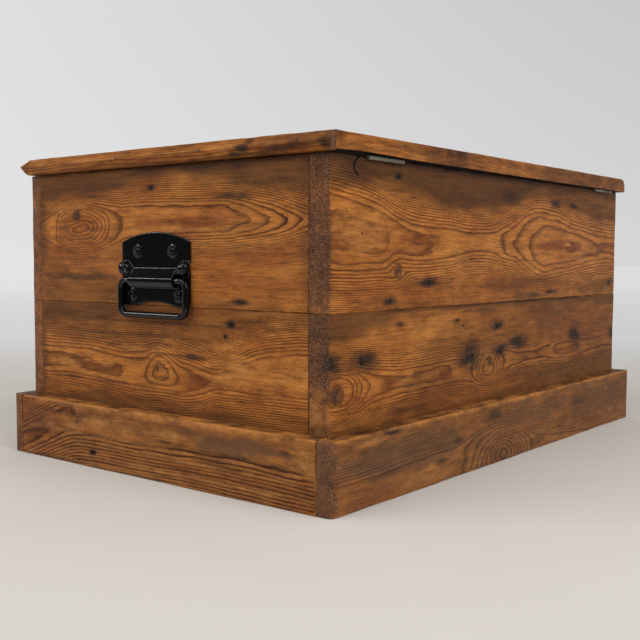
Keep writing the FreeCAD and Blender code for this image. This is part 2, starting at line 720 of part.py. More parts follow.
def handle_lug(name, sign):
    """A lug bent outward from the notch in the plate's side; it stops the lifted bail."""
    start = "lug_inner" if sign > 0 else "-plate_width / 2"
    outer = doc.addObject("Part::Cylinder", f"{name}_outer")
    set_sizes(outer, Radius="lug_reach", Height="lug_width")
    set_place(outer, 0, start, "lug_top - lug_reach", (1, 0, 0), -90)
    inner = doc.addObject("Part::Cylinder", f"{name}_inner")
    set_sizes(inner, Radius="lug_reach - lug_wall", Height="lug_width + 2 * cut_overrun")
    set_place(inner, 0, f"{start} - cut_overrun", "lug_top - lug_reach", (1, 0, 0), -90)
    shell = cut(f"{name}_shell", outer, inner)
    quarter = doc.addObject("Part::Common", name)
    quarter.Base = shell
    quarter.Tool = box(f"{name}_quarter", "lug_reach", "lug_width", "lug_reach", 0, start,
                       "lug_top - lug_reach")
    skirt = box(f"{name}_skirt", "lug_wall", "lug_width", "lug_top - lug_reach - lug_foot",
                "lug_reach - lug_wall", start, "lug_foot")
    return [quarter, skirt]


def make_plate(side):
    """The pressed plate with its arched top, side notches, hood, lugs and hollow foot."""
    name = f"{side}_handle_plate"
    blank = doc.addObject("PartDesign::Body", f"{name}_blank")
    sheet_outline = outline(blank, f"{name}_outline", "YZ_Plane", [
        ("-plate_width / 2", "-plate_drop"), ("plate_width / 2", "-plate_drop"),
        ("plate_width / 2", "plate_top"), ("-plate_width / 2", "plate_top")])
    pad(blank, f"{name}_pad", sheet_outline, "plate_thickness")
    foot = -float(sheet.get("plate_drop"))
    lower = edge_names(blank, lambda one, two: (
        abs(one.z - foot) < SAME_PLACE and abs(two.z - foot) < SAME_PLACE
        and abs(one.y - two.y) < SAME_PLACE))
    dress(blank, "PartDesign::Fillet", f"{name}_lower_corners", lower, Radius="plate_corner_radius")
    arch = rod(f"{name}_arch", "plate_arch_radius", "plate_thickness",
               0, 0, "plate_top - plate_arch_radius", (0, 1, 0), 90)
    arched = doc.addObject("Part::Common", f"{name}_arched")
    arched.Base = blank
    arched.Tool = arch
    hollow = rod(f"{name}_hollow", "plate_hollow_radius", "plate_thickness + 2 * cut_overrun",
                 "-cut_overrun", 0, "hollow_depth - plate_drop - plate_hollow_radius", (0, 1, 0), 90)
    wastes = [hollow]
    for sign, start in ((1, "lug_inner"), (-1, "-plate_width / 2 - cut_overrun")):
        wastes.append(box(f"{name}_notch_{sign + 1}", "plate_thickness + 2 * cut_overrun",
                          "lug_width + cut_overrun", "lug_top - lug_reach - hood_wall",
                          "-cut_overrun", start, "lug_reach + hood_wall / 2"))
    trimmed = cut(f"{name}_trimmed", arched, group(f"{name}_wastes", wastes))
    hood = handle_hood(name)
    bore = rod(f"{name}_bore", "hood_bore", "hood_top_width + 2 * cut_overrun",
               "bail_axis_out", "-hood_top_width / 2 - cut_overrun", 0, (1, 0, 0), -90)
    open_hood = cut(f"{name}_open_hood", hood, bore)
    parts = [trimmed, open_hood]
    parts += handle_lug(f"{name}_right_lug", 1)
    parts += handle_lug(f"{name}_left_lug", -1)
    solid = fuse(f"{name}_solid", parts)
    drills = [rod(f"{name}_drill_{number}", "handle_screw_radius + screw_clearance",
                  "plate_thickness + 2 * cut_overrun", "-cut_overrun", across, up, (0, 1, 0), 90)
              for number, (across, up) in enumerate(screw_places())]
    plate = cut(name, solid, group(f"{name}_drills", drills))
    keep(place_handle(plate, side), name)


def make_bail(side):
    """The bail: four straight bars joined by four quarter bends."""
    name = f"{side}_handle_bail"
    out = "bail_axis_out"
    pieces = [
        rod(f"{name}_top_bar", "bail_radius", "bail_bar", out, "-bail_bar / 2", 0, (1, 0, 0), -90),
        rod(f"{name}_grip_bar", "bail_radius", "bail_bar", out, "-bail_bar / 2", "-bail_drop",
            (1, 0, 0), -90),
    ]
    for sign, mark in (("", "right"), ("-", "left")):
        pieces.append(rod(f"{name}_{mark}_leg", "bail_radius", "bail_leg", out, f"{sign}bail_half",
                          "-bail_drop + bail_corner"))
    bends = ((1, "bail_bar / 2", "-bail_corner", 0), (2, "-bail_bar / 2", "-bail_corner", 90),
             (3, "-bail_bar / 2", "bail_corner - bail_drop", 180),
             (4, "bail_bar / 2", "bail_corner - bail_drop", 270))
    for number, across, up, turn in bends:
        bend = doc.addObject("Part::Torus", f"{name}_bend_{number}")
        set_sizes(bend, Radius1="bail_corner", Radius2="bail_radius")
        bend.Angle3 = 90
        flat = FreeCAD.Rotation(FreeCAD.Vector(0, 1, 0), FreeCAD.Vector(0, 0, 1),
                                FreeCAD.Vector(1, 0, 0), "XYZ")
        spin = FreeCAD.Rotation(FreeCAD.Vector(1, 0, 0), turn)
        bend.Placement = FreeCAD.Placement(FreeCAD.Vector(), spin.multiply(flat))
        set_place(bend, out, across, up)
        pieces.append(bend)
    keep(place_handle(fuse(name, pieces), side), name)


def check_objects():
    """Stops on any object that failed, and on a sub-part without a sound solid."""
    for piece in doc.Objects:
        if "Invalid" in piece.State or "Error" in piece.State:
            raise RuntimeError(f"{piece.Name} failed: {piece.State}")
    for piece in subparts:
        if piece.Shape.isNull() or not piece.Shape.isValid() or not piece.Shape.Solids:
            raise RuntimeError(f"{piece.Label} has no sound solid")


def write_parts():
    os.makedirs("parts", exist_ok=True)
    for piece in subparts:
        piece.Shape.exportStep(f"parts/{piece.Label}.step")
    print(f"{len(subparts)} sub-parts written")


fill_sheet()
nail_holes = make_nails()
hinge_holes = make_hinge_screws()
make_side_boards(nail_holes, hinge_holes["carcass"], make_handle_screws())
make_posts()
make_bottom(nail_holes)
make_plinth(nail_holes)
make_lid_boards(nail_holes, make_hinges(hinge_holes), hinge_holes["lid"])
make_mouldings(nail_holes)
for handle_side in HANDLE_SIDES:
    make_plate(handle_side)
    make_bail(handle_side)
doc.recompute()
check_objects()
write_parts()
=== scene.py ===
import itertools
import math

import bmesh
import bpy
import numpy as np
from mathutils import Matrix, Vector


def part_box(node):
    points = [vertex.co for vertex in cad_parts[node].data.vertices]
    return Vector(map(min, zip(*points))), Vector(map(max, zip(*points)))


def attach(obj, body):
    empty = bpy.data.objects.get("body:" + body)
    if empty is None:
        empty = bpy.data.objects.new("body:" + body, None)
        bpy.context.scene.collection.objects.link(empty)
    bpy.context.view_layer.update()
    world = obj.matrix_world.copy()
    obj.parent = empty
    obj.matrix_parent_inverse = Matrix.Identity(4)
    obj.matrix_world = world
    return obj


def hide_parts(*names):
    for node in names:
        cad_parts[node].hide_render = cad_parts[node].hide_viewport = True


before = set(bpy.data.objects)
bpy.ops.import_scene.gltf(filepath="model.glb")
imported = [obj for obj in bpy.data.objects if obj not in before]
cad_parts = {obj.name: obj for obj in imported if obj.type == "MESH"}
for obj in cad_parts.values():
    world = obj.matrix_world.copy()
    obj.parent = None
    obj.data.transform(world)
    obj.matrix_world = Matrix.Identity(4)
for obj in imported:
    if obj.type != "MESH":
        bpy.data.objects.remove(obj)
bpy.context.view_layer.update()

# A pine storage chest: worn boards with their grain, knots and stains, a nosed lid,
# black drop handles and worn hinges. Metres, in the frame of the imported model:
# X along the length, the back faces +Y, +Z up. Grain designs are in millimetres.

MM = 0.001

# Camera, solved from the chest's edges in the photograph

CAMERA_PLACE = Vector((1.1338, 0.8409, 0.2629))
CAMERA_YAW = 0.67234
CAMERA_PITCH = 0.06706
CAMERA_ROLL = 0.00314
CAMERA_LENS = 53.25
CAMERA_SENSOR = 36.0
CAMERA_NEAR = 0.01
CAMERA_FAR = 30.0


def link(name, data):
    """A new object in the scene."""
    made = bpy.data.objects.new(name, data)
    bpy.context.scene.collection.objects.link(made)
    return made


def make_camera():
    data = bpy.data.cameras.new("camera")
    data.lens = CAMERA_LENS
    data.sensor_width = CAMERA_SENSOR
    data.clip_start = CAMERA_NEAR
    data.clip_end = CAMERA_FAR
    camera = link("camera", data)
    flat = math.cos(CAMERA_PITCH)
    forward = Vector((-math.cos(CAMERA_YAW) * flat, -math.sin(CAMERA_YAW) * flat, -math.sin(CAMERA_PITCH)))
    level = forward.cross(Vector((0, 0, 1))).normalized()
    upright = level.cross(forward)
    right = level * math.cos(CAMERA_ROLL) + upright * math.sin(CAMERA_ROLL)
    up = upright * math.cos(CAMERA_ROLL) - level * math.sin(CAMERA_ROLL)
    turn = Matrix((right, up, -forward)).transposed().to_4x4()
    camera.matrix_world = Matrix.Translation(CAMERA_PLACE) @ turn
    bpy.context.scene.camera = camera


# Shader nodes

class Value:
    """A number that a shader node gives. Arithmetic with it makes further nodes."""

    def __init__(self, shader, socket):
        self.shader = shader
        self.socket = socket

    def __add__(self, other):
        return self.shader.math("ADD", self, other)

    def __sub__(self, other):
        return self.shader.math("SUBTRACT", self, other)

    def __rsub__(self, other):
        return self.shader.math("SUBTRACT", other, self)

    def __mul__(self, other):
        return self.shader.math("MULTIPLY", self, other)

    def most(self, other):
        return self.shader.math("MAXIMUM", self, other)

    def least(self, other):
        return self.shader.math("MINIMUM", self, other)

    def clamped(self):
        """The value itself, held by its node from nought to one."""
        self.socket.node.use_clamp = True
        return self

    def span(self, low, high, new_low=0.0, new_high=1.0, smooth=False):
        """The stretch from low to high laid out from new_low to new_high, level beyond it."""
        inputs = {"Value": self, "From Min": low, "From Max": high, "To Min": new_low, "To Max": new_high}
        kind = "SMOOTHSTEP" if smooth else "LINEAR"
        return self.shader.value("ShaderNodeMapRange", inputs, interpolation_type=kind, clamp=True)


class Shader:
    """The node tree of a material or a world, with one short call for each kind of node."""

    def __init__(self, owner):
        owner.use_nodes = True
        self.owner = owner
        self.tree = owner.node_tree
        self.surface = self.tree.nodes.get("Principled BSDF")

    def put(self, socket, value):
        value = getattr(value, "socket", value)
        if isinstance(value, bpy.types.NodeSocket):
            self.tree.links.new(value, socket)
        elif socket.type == "RGBA" and len(value) == 3:
            socket.default_value = (*value, 1.0)
        else:
            socket.default_value = value

    def set(self, **values):
        """Sets inputs of the surface, named with _ for each space."""
        for name, value in values.items():
            self.put(self.surface.inputs[name.replace("_", " ")], value)

    def node(self, kind, inputs=(), **settings):
        made = self.tree.nodes.new(kind)
        for name, value in settings.items():
            setattr(made, name, value)
        for key, value in dict(inputs).items():
            self.put(made.inputs[key], value)
        return made

    def value(self, kind, inputs=(), output=0, **settings):
        return Value(self, self.node(kind, inputs, **settings).outputs[output])

    def math(self, operation, first, second=0.0):
        return self.value("ShaderNodeMath", {0: first, 1: second}, operation=operation)

    def vector(self, operation, first, second=(), output=0):
        inputs = {0: first, 1: second} if second else {0: first}
        return self.value("ShaderNodeVectorMath", inputs, output, operation=operation)

    def noise(self, place, squeeze, scale, detail=3.0, roughness=0.5):
        """Noise of a scale, finer by the three factors of squeeze along the axes."""
        place = self.vector("MULTIPLY", place, squeeze) if squeeze else place
        inputs = {"Vector": place, "Scale": scale, "Detail": detail, "Roughness": roughness}
        return self.value("ShaderNodeTexNoise", inputs, "Fac")

    def mix(self, share, first, second, blend="MIX"):
        inputs = {0: share, 6: first, 7: second}
        return self.value("ShaderNodeMix", inputs, 2, data_type="RGBA", blend_type=blend)

    def lay(self, below, above, share, factor):
        """Lays one colour over another, as much of it as a share times a factor, at most all."""
        return self.mix((share * factor).clamped(), below, above)

    def colour(self, red, green, blue):
        return self.value("ShaderNodeCombineColor", {0: red, 1: green, 2: blue})

    def ramp(self, value, stops):
        made = self.node("ShaderNodeValToRGB", {0: value})
        ramp = made.color_ramp
        while len(ramp.elements) < len(stops):
            ramp.elements.new(0.5)
        for element, (place, level) in zip(ramp.elements, stops):
            element.position = place
            element.color = (level, level, level, 1.0)
        return Value(self, made.outputs[0])

    def attribute(self, name, output="Vector"):
        return self.value("ShaderNodeAttribute", output=output, attribute_name=name)

    def parts(self, name):
        """The three numbers of a vector attribute."""
        split = self.node("ShaderNodeSeparateXYZ", {0: self.attribute(name)})
        return [Value(self, socket) for socket in split.outputs]

    def bump(self, height, distance, strength):
        inputs = {"Height": height, "Distance": distance, "Strength": strength}
        self.put(self.surface.inputs["Normal"], self.value("ShaderNodeBump", inputs))


def toned(colour, tone):
    return [part * tone for part in colour]


# Old pine. A mesh brings its growth rings, its place along the grain and its marks as attributes.

EARLY_WOOD = (0.425, 0.150, 0.026)
LATE_WOOD = (0.058, 0.012, 0.002)
RED_WOOD = (0.200, 0.050, 0.010)
PALE_WOOD = (0.460, 0.205, 0.052)
KNOT_WOOD = (0.150, 0.058, 0.020)
GREY_WOOD = (0.044, 0.019, 0.010)
DUSTY_WOOD = (0.090, 0.050, 0.032)
# Dark stains and joint dirt; the same colour paints the shade in the gap under the lid
STAIN_AND_SHADE = (0.009, 0.007, 0.009)
RUBBED_AND_HIGHLIT_WOOD = (0.540, 0.210, 0.045)
END_WOOD = (0.180, 0.060, 0.024)
FLECK = (0.430, 0.240, 0.140)
CRACK = (0.002, 0.0015, 0.001)
# How dark a growth ring is from its inner edge to its outer one, and how much its line wavers
RING_PROFILE = ((0.0, 0.30), (0.05, 0.04), (0.45, 0.04), (0.66, 0.45), (0.84, 1.0), (0.96, 1.0), (1.0, 0.30))
RING_WOBBLE = 0.42
# Noise along the grain: how much finer it is across, its scale, detail and roughness
WOOD_NOISES = {
    "wobble": (8.0, 70.0, 3.0, 0.6),
    "fibre": (26.0, 60.0, 6.0, 0.68),
    "thread": (11.0, 34.0, 4.0, 0.65),
    "streak": (12.0, 15.0, 4.0, 0.6),
    "blotch": (1.7, 12.0, 4.0, 0.6),
    "cloud": (2.2, 38.0, 4.0, 0.65),
    "speck": (2.2, 430.0, 4.0, 0.75),
}
# The range that holds most values of a noise, and a wider one
MIDDLE = (0.3, 0.7)
WIDE = (0.28, 0.72)
DARKEST = 0.12
WOOD_RELIEF = 0.8 * MM
WOOD_SHINE = 0.14
# Tone, polish, contrast of the rings and aged colour of the pine of each material slot; the aged colour also
# paints the lid's shadow at the top of the right end
WOODS = {
    "pine_sides": (1.0, 0.42, 1.0, GREY_WOOD),
    "pine_plinth": (0.84, 0.45, 1.5, DUSTY_WOOD),
    "pine_lid": (0.98, 0.42, 0.9, GREY_WOOD),
    "pine_hidden": (1.2, 0.62, 1.0, GREY_WOOD),
}


def wood_material(name, tone, polish, contrast, aged_and_shaded):
    """Pine whose rings, fibres, knots, stains and wear follow the attributes of its mesh."""
    shader = Shader(bpy.data.materials.new(name))
    place = shader.attribute("place")
    dark, grey, warm = shader.parts("tones")
    pale, edge, end = shader.parts("state")
    gap, crack_on, pit = shader.parts("cracks")
    faint, knot, depth = shader.parts("figure")
    wobble, fibre, thread, streak, blotch, cloud, speck = (
        shader.noise(place, (1.0, finer, finer), *rest) for finer, *rest in WOOD_NOISES.values())

    ring = shader.attribute("ring", "Fac") + (wobble - 0.5) * RING_WOBBLE
    number = shader.math("FLOOR", ring)
    year = shader.value("ShaderNodeTexWhiteNoise", {"W": number}, "Value", noise_dimensions="1D")
    late = shader.ramp(shader.math("FRACT", ring), RING_PROFILE) * year.span(0, 1, 0.70, 1.0)
    late = late * pale.span(0, 1, 1.0, 0.35) * faint.span(0, 1, 1.0, 0.50) * end.span(0, 1, 1.0, 0.45)
    late = (late * contrast).clamped()

    colour = shader.mix(late, toned(EARLY_WOOD, tone), toned(LATE_WOOD, tone))
    colour = shader.mix(blotch.span(0.48, 0.72, 0.0, 0.60), colour, toned(RED_WOOD, tone))
    colour = shader.mix(blotch.span(0.30, 0.46, 0.28, 0.0), colour, toned(PALE_WOOD, tone))
    colour = shader.lay(colour, RED_WOOD, warm, 0.9)
    colour = shader.lay(colour, PALE_WOOD, pale, cloud.span(0.35, 0.6, 0.15, 0.75))
    knotted = shader.mix(late, KNOT_WOOD, toned(KNOT_WOOD, 0.45))
    colour = shader.lay(colour, knotted, knot, cloud.span(*MIDDLE, 0.95, 0.6))
    sawn = shader.mix(blotch.span(0.38, 0.6), END_WOOD, toned(END_WOOD, 0.50))
    sawn = shader.mix(late, sawn, toned(END_WOOD, 0.30))
    colour = shader.lay(colour, sawn, end, cloud.span(*MIDDLE, 0.95, 0.55))

    shade = fibre.span(0.25, 0.75, 0.46, 1.46) + streak.span(*MIDDLE, -0.24, 0.24)
    shade = shade + thread.span(*MIDDLE, -0.24, 0.24) + speck.span(*WIDE, -0.42, 0.42)
    shade = shade + speck.span(*WIDE, -0.5, 0.5) * end + cloud.span(*MIDDLE, -0.20, 0.20)
    shade = shade.most(DARKEST)
    colour = shader.mix(1.0, colour, shader.colour(shade, shade, shade), "MULTIPLY")

    mark = fibre.span(*MIDDLE, 0.70, 1.14)
    lined = shader.mix(late, toned(aged_and_shaded, 1.15), toned(aged_and_shaded, 0.45))
    # Aged greyness; where a veil runs right under the lid it is painted shadow as well as dirt
    colour = shader.lay(colour, lined, grey, mark)
    colour = shader.lay(colour, STAIN_AND_SHADE, dark, mark)
    # Joint dirt, and painted shade in the gap under the lid
    colour = shader.lay(colour, STAIN_AND_SHADE, depth, cloud.span(*MIDDLE, 0.95, 0.55))
    # Lighter arrises: partly real wear, partly a painted highlight where light catches the edges
    colour = shader.lay(colour, RUBBED_AND_HIGHLIT_WOOD, edge, cloud.span(0.38, 0.58, 0.05, 0.95))
    colour = shader.lay(colour, FLECK, end.most(edge * 0.5), speck.span(0.53, 0.66, 0.0, 0.8))
    slit = shader.math("ABSOLUTE", gap).span(0.8, 1.7, 1.0, 0.0, True) * crack_on
    hollow = slit.most(pit).least(1.0)
    colour = shader.mix(hollow, colour, CRACK)

    roughness = fibre.span(*MIDDLE, polish - 0.06, polish + 0.10) + grey * 0.14
    shader.set(Base_Color=colour, Roughness=roughness, Specular_IOR_Level=WOOD_SHINE)
    height = late * 0.35 + fibre * 0.60 + speck * end.span(0, 1, 0.25, 0.8) - hollow * 1.8
    shader.bump(height, WOOD_RELIEF, 0.85)
    return shader.owner


def plain_shader(name):
    """A shader and the place on the object that its noise follows."""
    shader = Shader(bpy.data.materials.new(name))
    return shader, shader.value("ShaderNodeTexCoord", output="Object")


def block_material(name):
    """Rough sawn pine for small blocks: upright streaks of growth rings and torn fibres."""
    shader, place = plain_shader(name)
    rings = shader.noise(place, (1.0, 1.0, 0.08), 170.0, 3.0, 0.6)
    fibre = shader.noise(place, (1.0, 1.0, 0.05), 900.0, 4.0, 0.7)
    colour = shader.mix(rings.span(0.42, 0.58, 0.0, 0.8), EARLY_WOOD, RED_WOOD)
    colour = shader.mix(fibre.span(0.35, 0.65, 0.0, 0.6), colour, GREY_WOOD)
    shader.set(Base_Color=colour, Roughness=fibre.span(*MIDDLE, 0.6, 0.8))
    shader.bump(fibre, 0.6 * MM, 0.8)
    return shader.owner


JAPAN_BLACK = (0.0025, 0.0025, 0.003)
JAPAN_DUST = (0.008, 0.008, 0.0075)
STEEL = (0.34, 0.32, 0.25)
STEEL_TARNISH = (0.105, 0.092, 0.066)
IRON = (0.10, 0.07, 0.05)
IRON_RUST = (0.045, 0.022, 0.014)


def painted_material(name):
    """Gloss black japanning with a slight ripple and a little dust in it."""
    shader, place = plain_shader(name)
    ripple = shader.noise(place, None, 130.0, 2.0, 0.5)
    dust = shader.noise(place, None, 900.0, 3.0, 0.6)
    colour = shader.mix(dust.span(0.55, 0.8, 0.0, 0.4), JAPAN_BLACK, JAPAN_DUST)
    shader.set(Base_Color=colour, Roughness=dust.span(*MIDDLE, 0.11, 0.20), Specular_IOR_Level=0.32)
    shader.bump(ripple + dust * 0.05, 0.5 * MM, 0.35)
    return shader.owner


def metal_material(name, clean, tarnish, low, high):
    """Worn metal: patches of tarnish over the bare metal, fine scratches. low and high are roughnesses."""
    shader, place = plain_shader(name)
    patch = shader.noise(place, None, 160.0, 5.0, 0.65)
    scratch = shader.noise(place, (1.0, 12.0, 12.0), 300.0, 3.0, 0.6)
    colour = shader.mix(patch.span(0.38, 0.62), clean, tarnish)
    shader.set(Base_Color=colour, Roughness=patch.span(0.35, 0.65, low, high))
    shader.set(Metallic=patch.span(0.4, 0.65, 0.85, 0.35))
    shader.bump(patch + scratch * 0.4, 0.3 * MM, 0.6)
    return shader.owner


# Smooth noise

def waves(places, size, seed, count=12):
    """Smooth noise of about -1 to 1 whose humps are about one size wide, the same for the same seed."""
    draw = np.random.default_rng(seed)
    ways = draw.normal(size=(count, 3))
    ways *= (draw.uniform(0.6, 1.7, count) / np.linalg.norm(ways, axis=1))[:, None]
    turns = (places / np.asarray(size, float)) @ ways.T * math.pi + draw.uniform(0, 2 * math.pi, count)
    return np.sin(turns).sum(axis=1) / (0.9 * math.sqrt(count))


def soft_step(low, high, value):
    share = np.clip((value - low) / (high - low), 0, 1)
    return share * share * (3 - 2 * share)


def curve_through(line, at, column=1):
    """A smooth line through given stations, level beyond its ends: a column of them over the first."""
    line = np.array(line, float)
    line = line[np.argsort(line[:, 0])]
    places, values = line[:, 0], line[:, column]
    slopes = np.zeros(len(places))
    slopes[1:-1] = (values[2:] - values[:-2]) / (places[2:] - places[:-2])
    at = np.clip(at, places[0], places[-1])
    part = np.clip(np.searchsorted(places, at) - 1, 0, len(places) - 2)
    run = places[part + 1] - places[part]
    t = (at - places[part]) / run
    first = values[part] * (1 + 2 * t) * (1 - t) ** 2 + slopes[part] * run * t * (1 - t) ** 2
    return first + values[part + 1] * t * t * (3 - 2 * t) + slopes[part + 1] * run * t * t * (t - 1)


# Meshes

ARRIS_SHARES = (0.0, 0.25, 0.5, 0.75, 1.0)
ARRIS_LIMIT_SHARE = 0.4


def axis_places(low, high, rounding, spacing):
    """Grid lines along one axis: close at the rounded arrises, even between them."""
    span = high - low
    edge = min(rounding, span * ARRIS_LIMIT_SHARE)
    near = [low + edge * share for share in ARRIS_SHARES]
    far = [high - edge * share for share in reversed(ARRIS_SHARES)]
    count = max(1, int(round((span - 2 * edge) / spacing)))
    between = [low + edge + (span - 2 * edge) * step / count for step in range(1, count)]
    return np.array(near + between + far)


def box_grid(lines):
    """Points and quads of a closed box whose faces carry the grid lines of three axes."""
    counts = [len(line) for line in lines]
    sides = []
    for axis in range(3):
        for end in (0, -1):
            pick = [slice(None)] * 3
            pick[axis] = end
            sides.append((tuple(pick), (end == -1) != (axis == 1)))
    shell = np.zeros(counts, dtype=bool)
    for pick, _ in sides:
        shell[pick] = True
    where = np.argwhere(shell)
    index = -np.ones(counts, dtype=np.int64)
    index[shell] = np.arange(len(where))
    points = np.stack([lines[axis][where[:, axis]] for axis in range(3)], axis=1)
    quads = []
    for pick, outward in sides:
        sheet = index[pick]
        a, b, c, d = sheet[:-1, :-1], sheet[1:, :-1], sheet[1:, 1:], sheet[:-1, 1:]
        ring = (a, b, c, d) if outward else (a, d, c, b)
        quads.append(np.stack([corner.ravel() for corner in ring], axis=1))
    return points, np.concatenate(quads)


def mesh_from(name, points, *face_lists):
    """A smooth mesh of points and of arrays of faces, each array with its own number of corners."""
    corners = np.concatenate([faces.ravel() for faces in face_lists])
    sizes = np.concatenate([np.full(len(faces), faces.shape[1]) for faces in face_lists])
    starts = np.concatenate([[0], np.cumsum(sizes)[:-1]])
    mesh = bpy.data.meshes.new(name)
    mesh.vertices.add(len(points))
    mesh.vertices.foreach_set("co", points.astype(np.float32).ravel())
    mesh.loops.add(len(corners))
    mesh.loops.foreach_set("vertex_index", corners.astype(np.int32))
    mesh.polygons.add(len(sizes))
    mesh.polygons.foreach_set("loop_start", starts.astype(np.int32))
    mesh.polygons.foreach_set("use_smooth", np.ones(len(sizes), dtype=bool))
    mesh.update(calc_edges=True)
    return link(name, mesh)


def read_points(mesh, kind):
    """The places (co) or normals (normal) of a mesh's points, one row each."""
    values = np.zeros(len(mesh.vertices) * 3, dtype=np.float32)
    mesh.vertices.foreach_get(kind, values)
    return values.reshape(-1, 3)


def move_points(mesh, points):
    mesh.vertices.foreach_set("co", points.astype(np.float32).ravel())
    mesh.update()


def set_values(piece, name, *columns):
    """Stores one number or a vector of three for each point of a mesh."""
    values = np.stack(columns, axis=-1)
    kind, field = ("FLOAT_VECTOR", "vector") if len(columns) > 1 else ("FLOAT", "value")
    attribute = piece.data.attributes.new(name, kind, "POINT")
    attribute.data.foreach_set(field, values.astype(np.float32).ravel())


def finish_piece(piece, node, body, material):
    """Gives a piece its material and lets it stand for a node of the model."""
    piece.data.materials.clear()
    piece.data.materials.append(material)
    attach(piece, body)
    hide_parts(node)


# Grain. Lengths in millimetres, a place as along and across the board.

KNOT_FLOW = 2.4
KNOT_REACH = 3.0
HEART_ROUNDING = 3.0
INNER_GRIME = 0.3
KNOT_RING = 2.3
HEART_LEAN = 1.8
STAIN_DEPTH = 14
VEIL_WANDER = 2.5
VEIL_BLUR = 9
LEVEL_RISE = ((0, 0), (1, 0))
# How wide the humps of each noise are along the board, across it and into it
SPOT_HUMPS = (26, 9, 9)
SPOT_CRUMBS = (9, 3.5, 3.5)
VEIL_HUMPS = (40, 16, 9)
LEAN_HUMPS = (150, 1, 60)
RING_HUMPS = (120, 30, 40)
RING_RIPPLES = (30, 8, 20)
END_HUMPS = (14, 14, 9)
RUB_HUMPS = (30, 30, 30)
# Depths below a board's outer face where the dirt of a joint sets in, and above its inner face where it ends
JOINT_DEPTHS = (1.2, 5.0)
INNER_SKIN = (3.0, 1.0)
# The distance given where no crack is, and how far a crack's mark reaches past its ends and beside it
NO_CRACK = 50.0
CRACK_END = 2.0
CRACK_REACH = 8.0


def spots(along, across, places, seed, core=0.35):
    """Soft patches: each place is along, across, half length, half width and strength."""
    total = np.zeros(len(along))
    if not places:
        return total
    spread = np.stack([along, across, np.zeros(len(along))], axis=1)
    ragged = waves(spread, SPOT_HUMPS, seed)
    finer = waves(spread, SPOT_CRUMBS, seed + 1)
    for u, v, long, wide, strength in places:
        reach = np.hypot((along - u) / long, (across - v) / wide) + 0.16 * ragged + 0.08 * finer
        total = np.maximum(total, strength * (1 - soft_step(core, 1.25, reach)))
    return total


def veil(along, across, grain, seed):
    """An even greyness beyond a line along the board, given as its strength, its side and the line."""
    total = np.zeros(len(along))
    spread = np.stack([along, across * 2, np.zeros(len(along))], axis=1)
    for strength, side, line in grain.get("veils", ()):
        beyond = (across - curve_through(line, along)) * side + VEIL_WANDER * waves(spread, VEIL_HUMPS, seed)
        total = np.maximum(total, strength * soft_step(-VEIL_BLUR, VEIL_BLUR, beyond))
    return total


def ring_count(along, across, deep, grain, seed):
    """Growth rings at each place in a board, counted outward from the line round its wide middle rings.

    The heart is a list of stations along the board: where it runs across the board, how far out
    that line lies, and how many rings lie within it. Beyond the line the rings lie close together.
    Returns the count, the share that is knot, and how far out among the close rings a place lies.
    """
    u, v = along.copy(), across.copy()
    inside = np.zeros(len(u))
    own = np.zeros(len(u))
    for knot_u, knot_v, radius in grain.get("knots", ()):
        du, dv = along - knot_u, across - knot_v
        near = np.exp(-(du / (KNOT_FLOW * radius)) ** 2 - (dv / (KNOT_REACH * radius)) ** 2)
        v = v - radius * 0.95 * np.tanh(dv / radius) * near
        ragged = waves(np.stack([du, dv, deep], 1), (radius * 1.4, radius * 1.4, 40), seed + 7)
        reach = np.hypot(du / 0.95, dv) / radius + 0.13 * ragged
        share = 1 - soft_step(0.82, 1.12, reach)
        own = np.where(share > inside, reach * radius / KNOT_RING + 0.25 * ragged, own)
        inside = np.maximum(inside, share)
    middle, bound, within = (curve_through(grain["heart"], u, column) for column in (1, 2, 3))
    level = curve_through(grain.get("rise", LEVEL_RISE), u)
    lean = HEART_LEAN * waves(np.stack([u, v * 0, deep], axis=1), LEAN_HUMPS, seed + 2)
    sunk = HEART_ROUNDING + np.maximum(deep, 0)
    reach = np.hypot(v - middle + lean, sunk) - HEART_ROUNDING
    beyond = HEART_ROUNDING * np.logaddexp(0, (reach - bound) / HEART_ROUNDING)
    near = np.clip((reach - beyond) / np.maximum(bound, 1.0), 0, 1)
    steps = beyond / grain.get("close", 4.2)
    count = level - within * (1 - near ** grain.get("bow", 2.0))
    count += steps * (1 + steps / grain.get("tight", 20.0))
    spread = np.stack([u, v, deep], axis=1)
    count += 0.16 * waves(spread, RING_HUMPS, seed) + 0.08 * waves(spread, RING_RIPPLES, seed + 3)
    calm = grain.get("calm", 5.0)
    fine = np.maximum(soft_step(calm, calm + 6.0, steps), grain.get("soft", 0.0))
    return count * (1 - inside) + own * inside, inside, fine * (1 - inside)


def crack_distance(along, across, cracks):
    """Signed distance to the nearest drawn crack, and where a crack is open."""
    best = np.full(len(along), NO_CRACK)
    signed = np.full(len(along), NO_CRACK)
    shown = np.zeros(len(along))
    for line in cracks:
        line = np.asarray(line, float)
        for (u0, v0), (u1, v1) in zip(line[:-1], line[1:]):
            way = np.array([u1 - u0, v1 - v0])
            size = np.hypot(*way)
            way /= size
            t = (along - u0) * way[0] + (across - v0) * way[1]
            side = (along - u0) * way[1] - (across - v0) * way[0]
            off = np.hypot(side, t - np.clip(t, 0, size))
            closer = off < best
            best = np.where(closer, off, best)
            signed = np.where(closer, side, signed)
            shown = np.where(closer, (off < abs(side) + CRACK_END) & (off < CRACK_REACH), shown)
    return signed, shown


def near_arris(outward, low, high):
    """How near an arris a point is, from the two largest parts of its outward direction."""
    return soft_step(low, high, np.sort(np.abs(outward), axis=1)[:, 1])


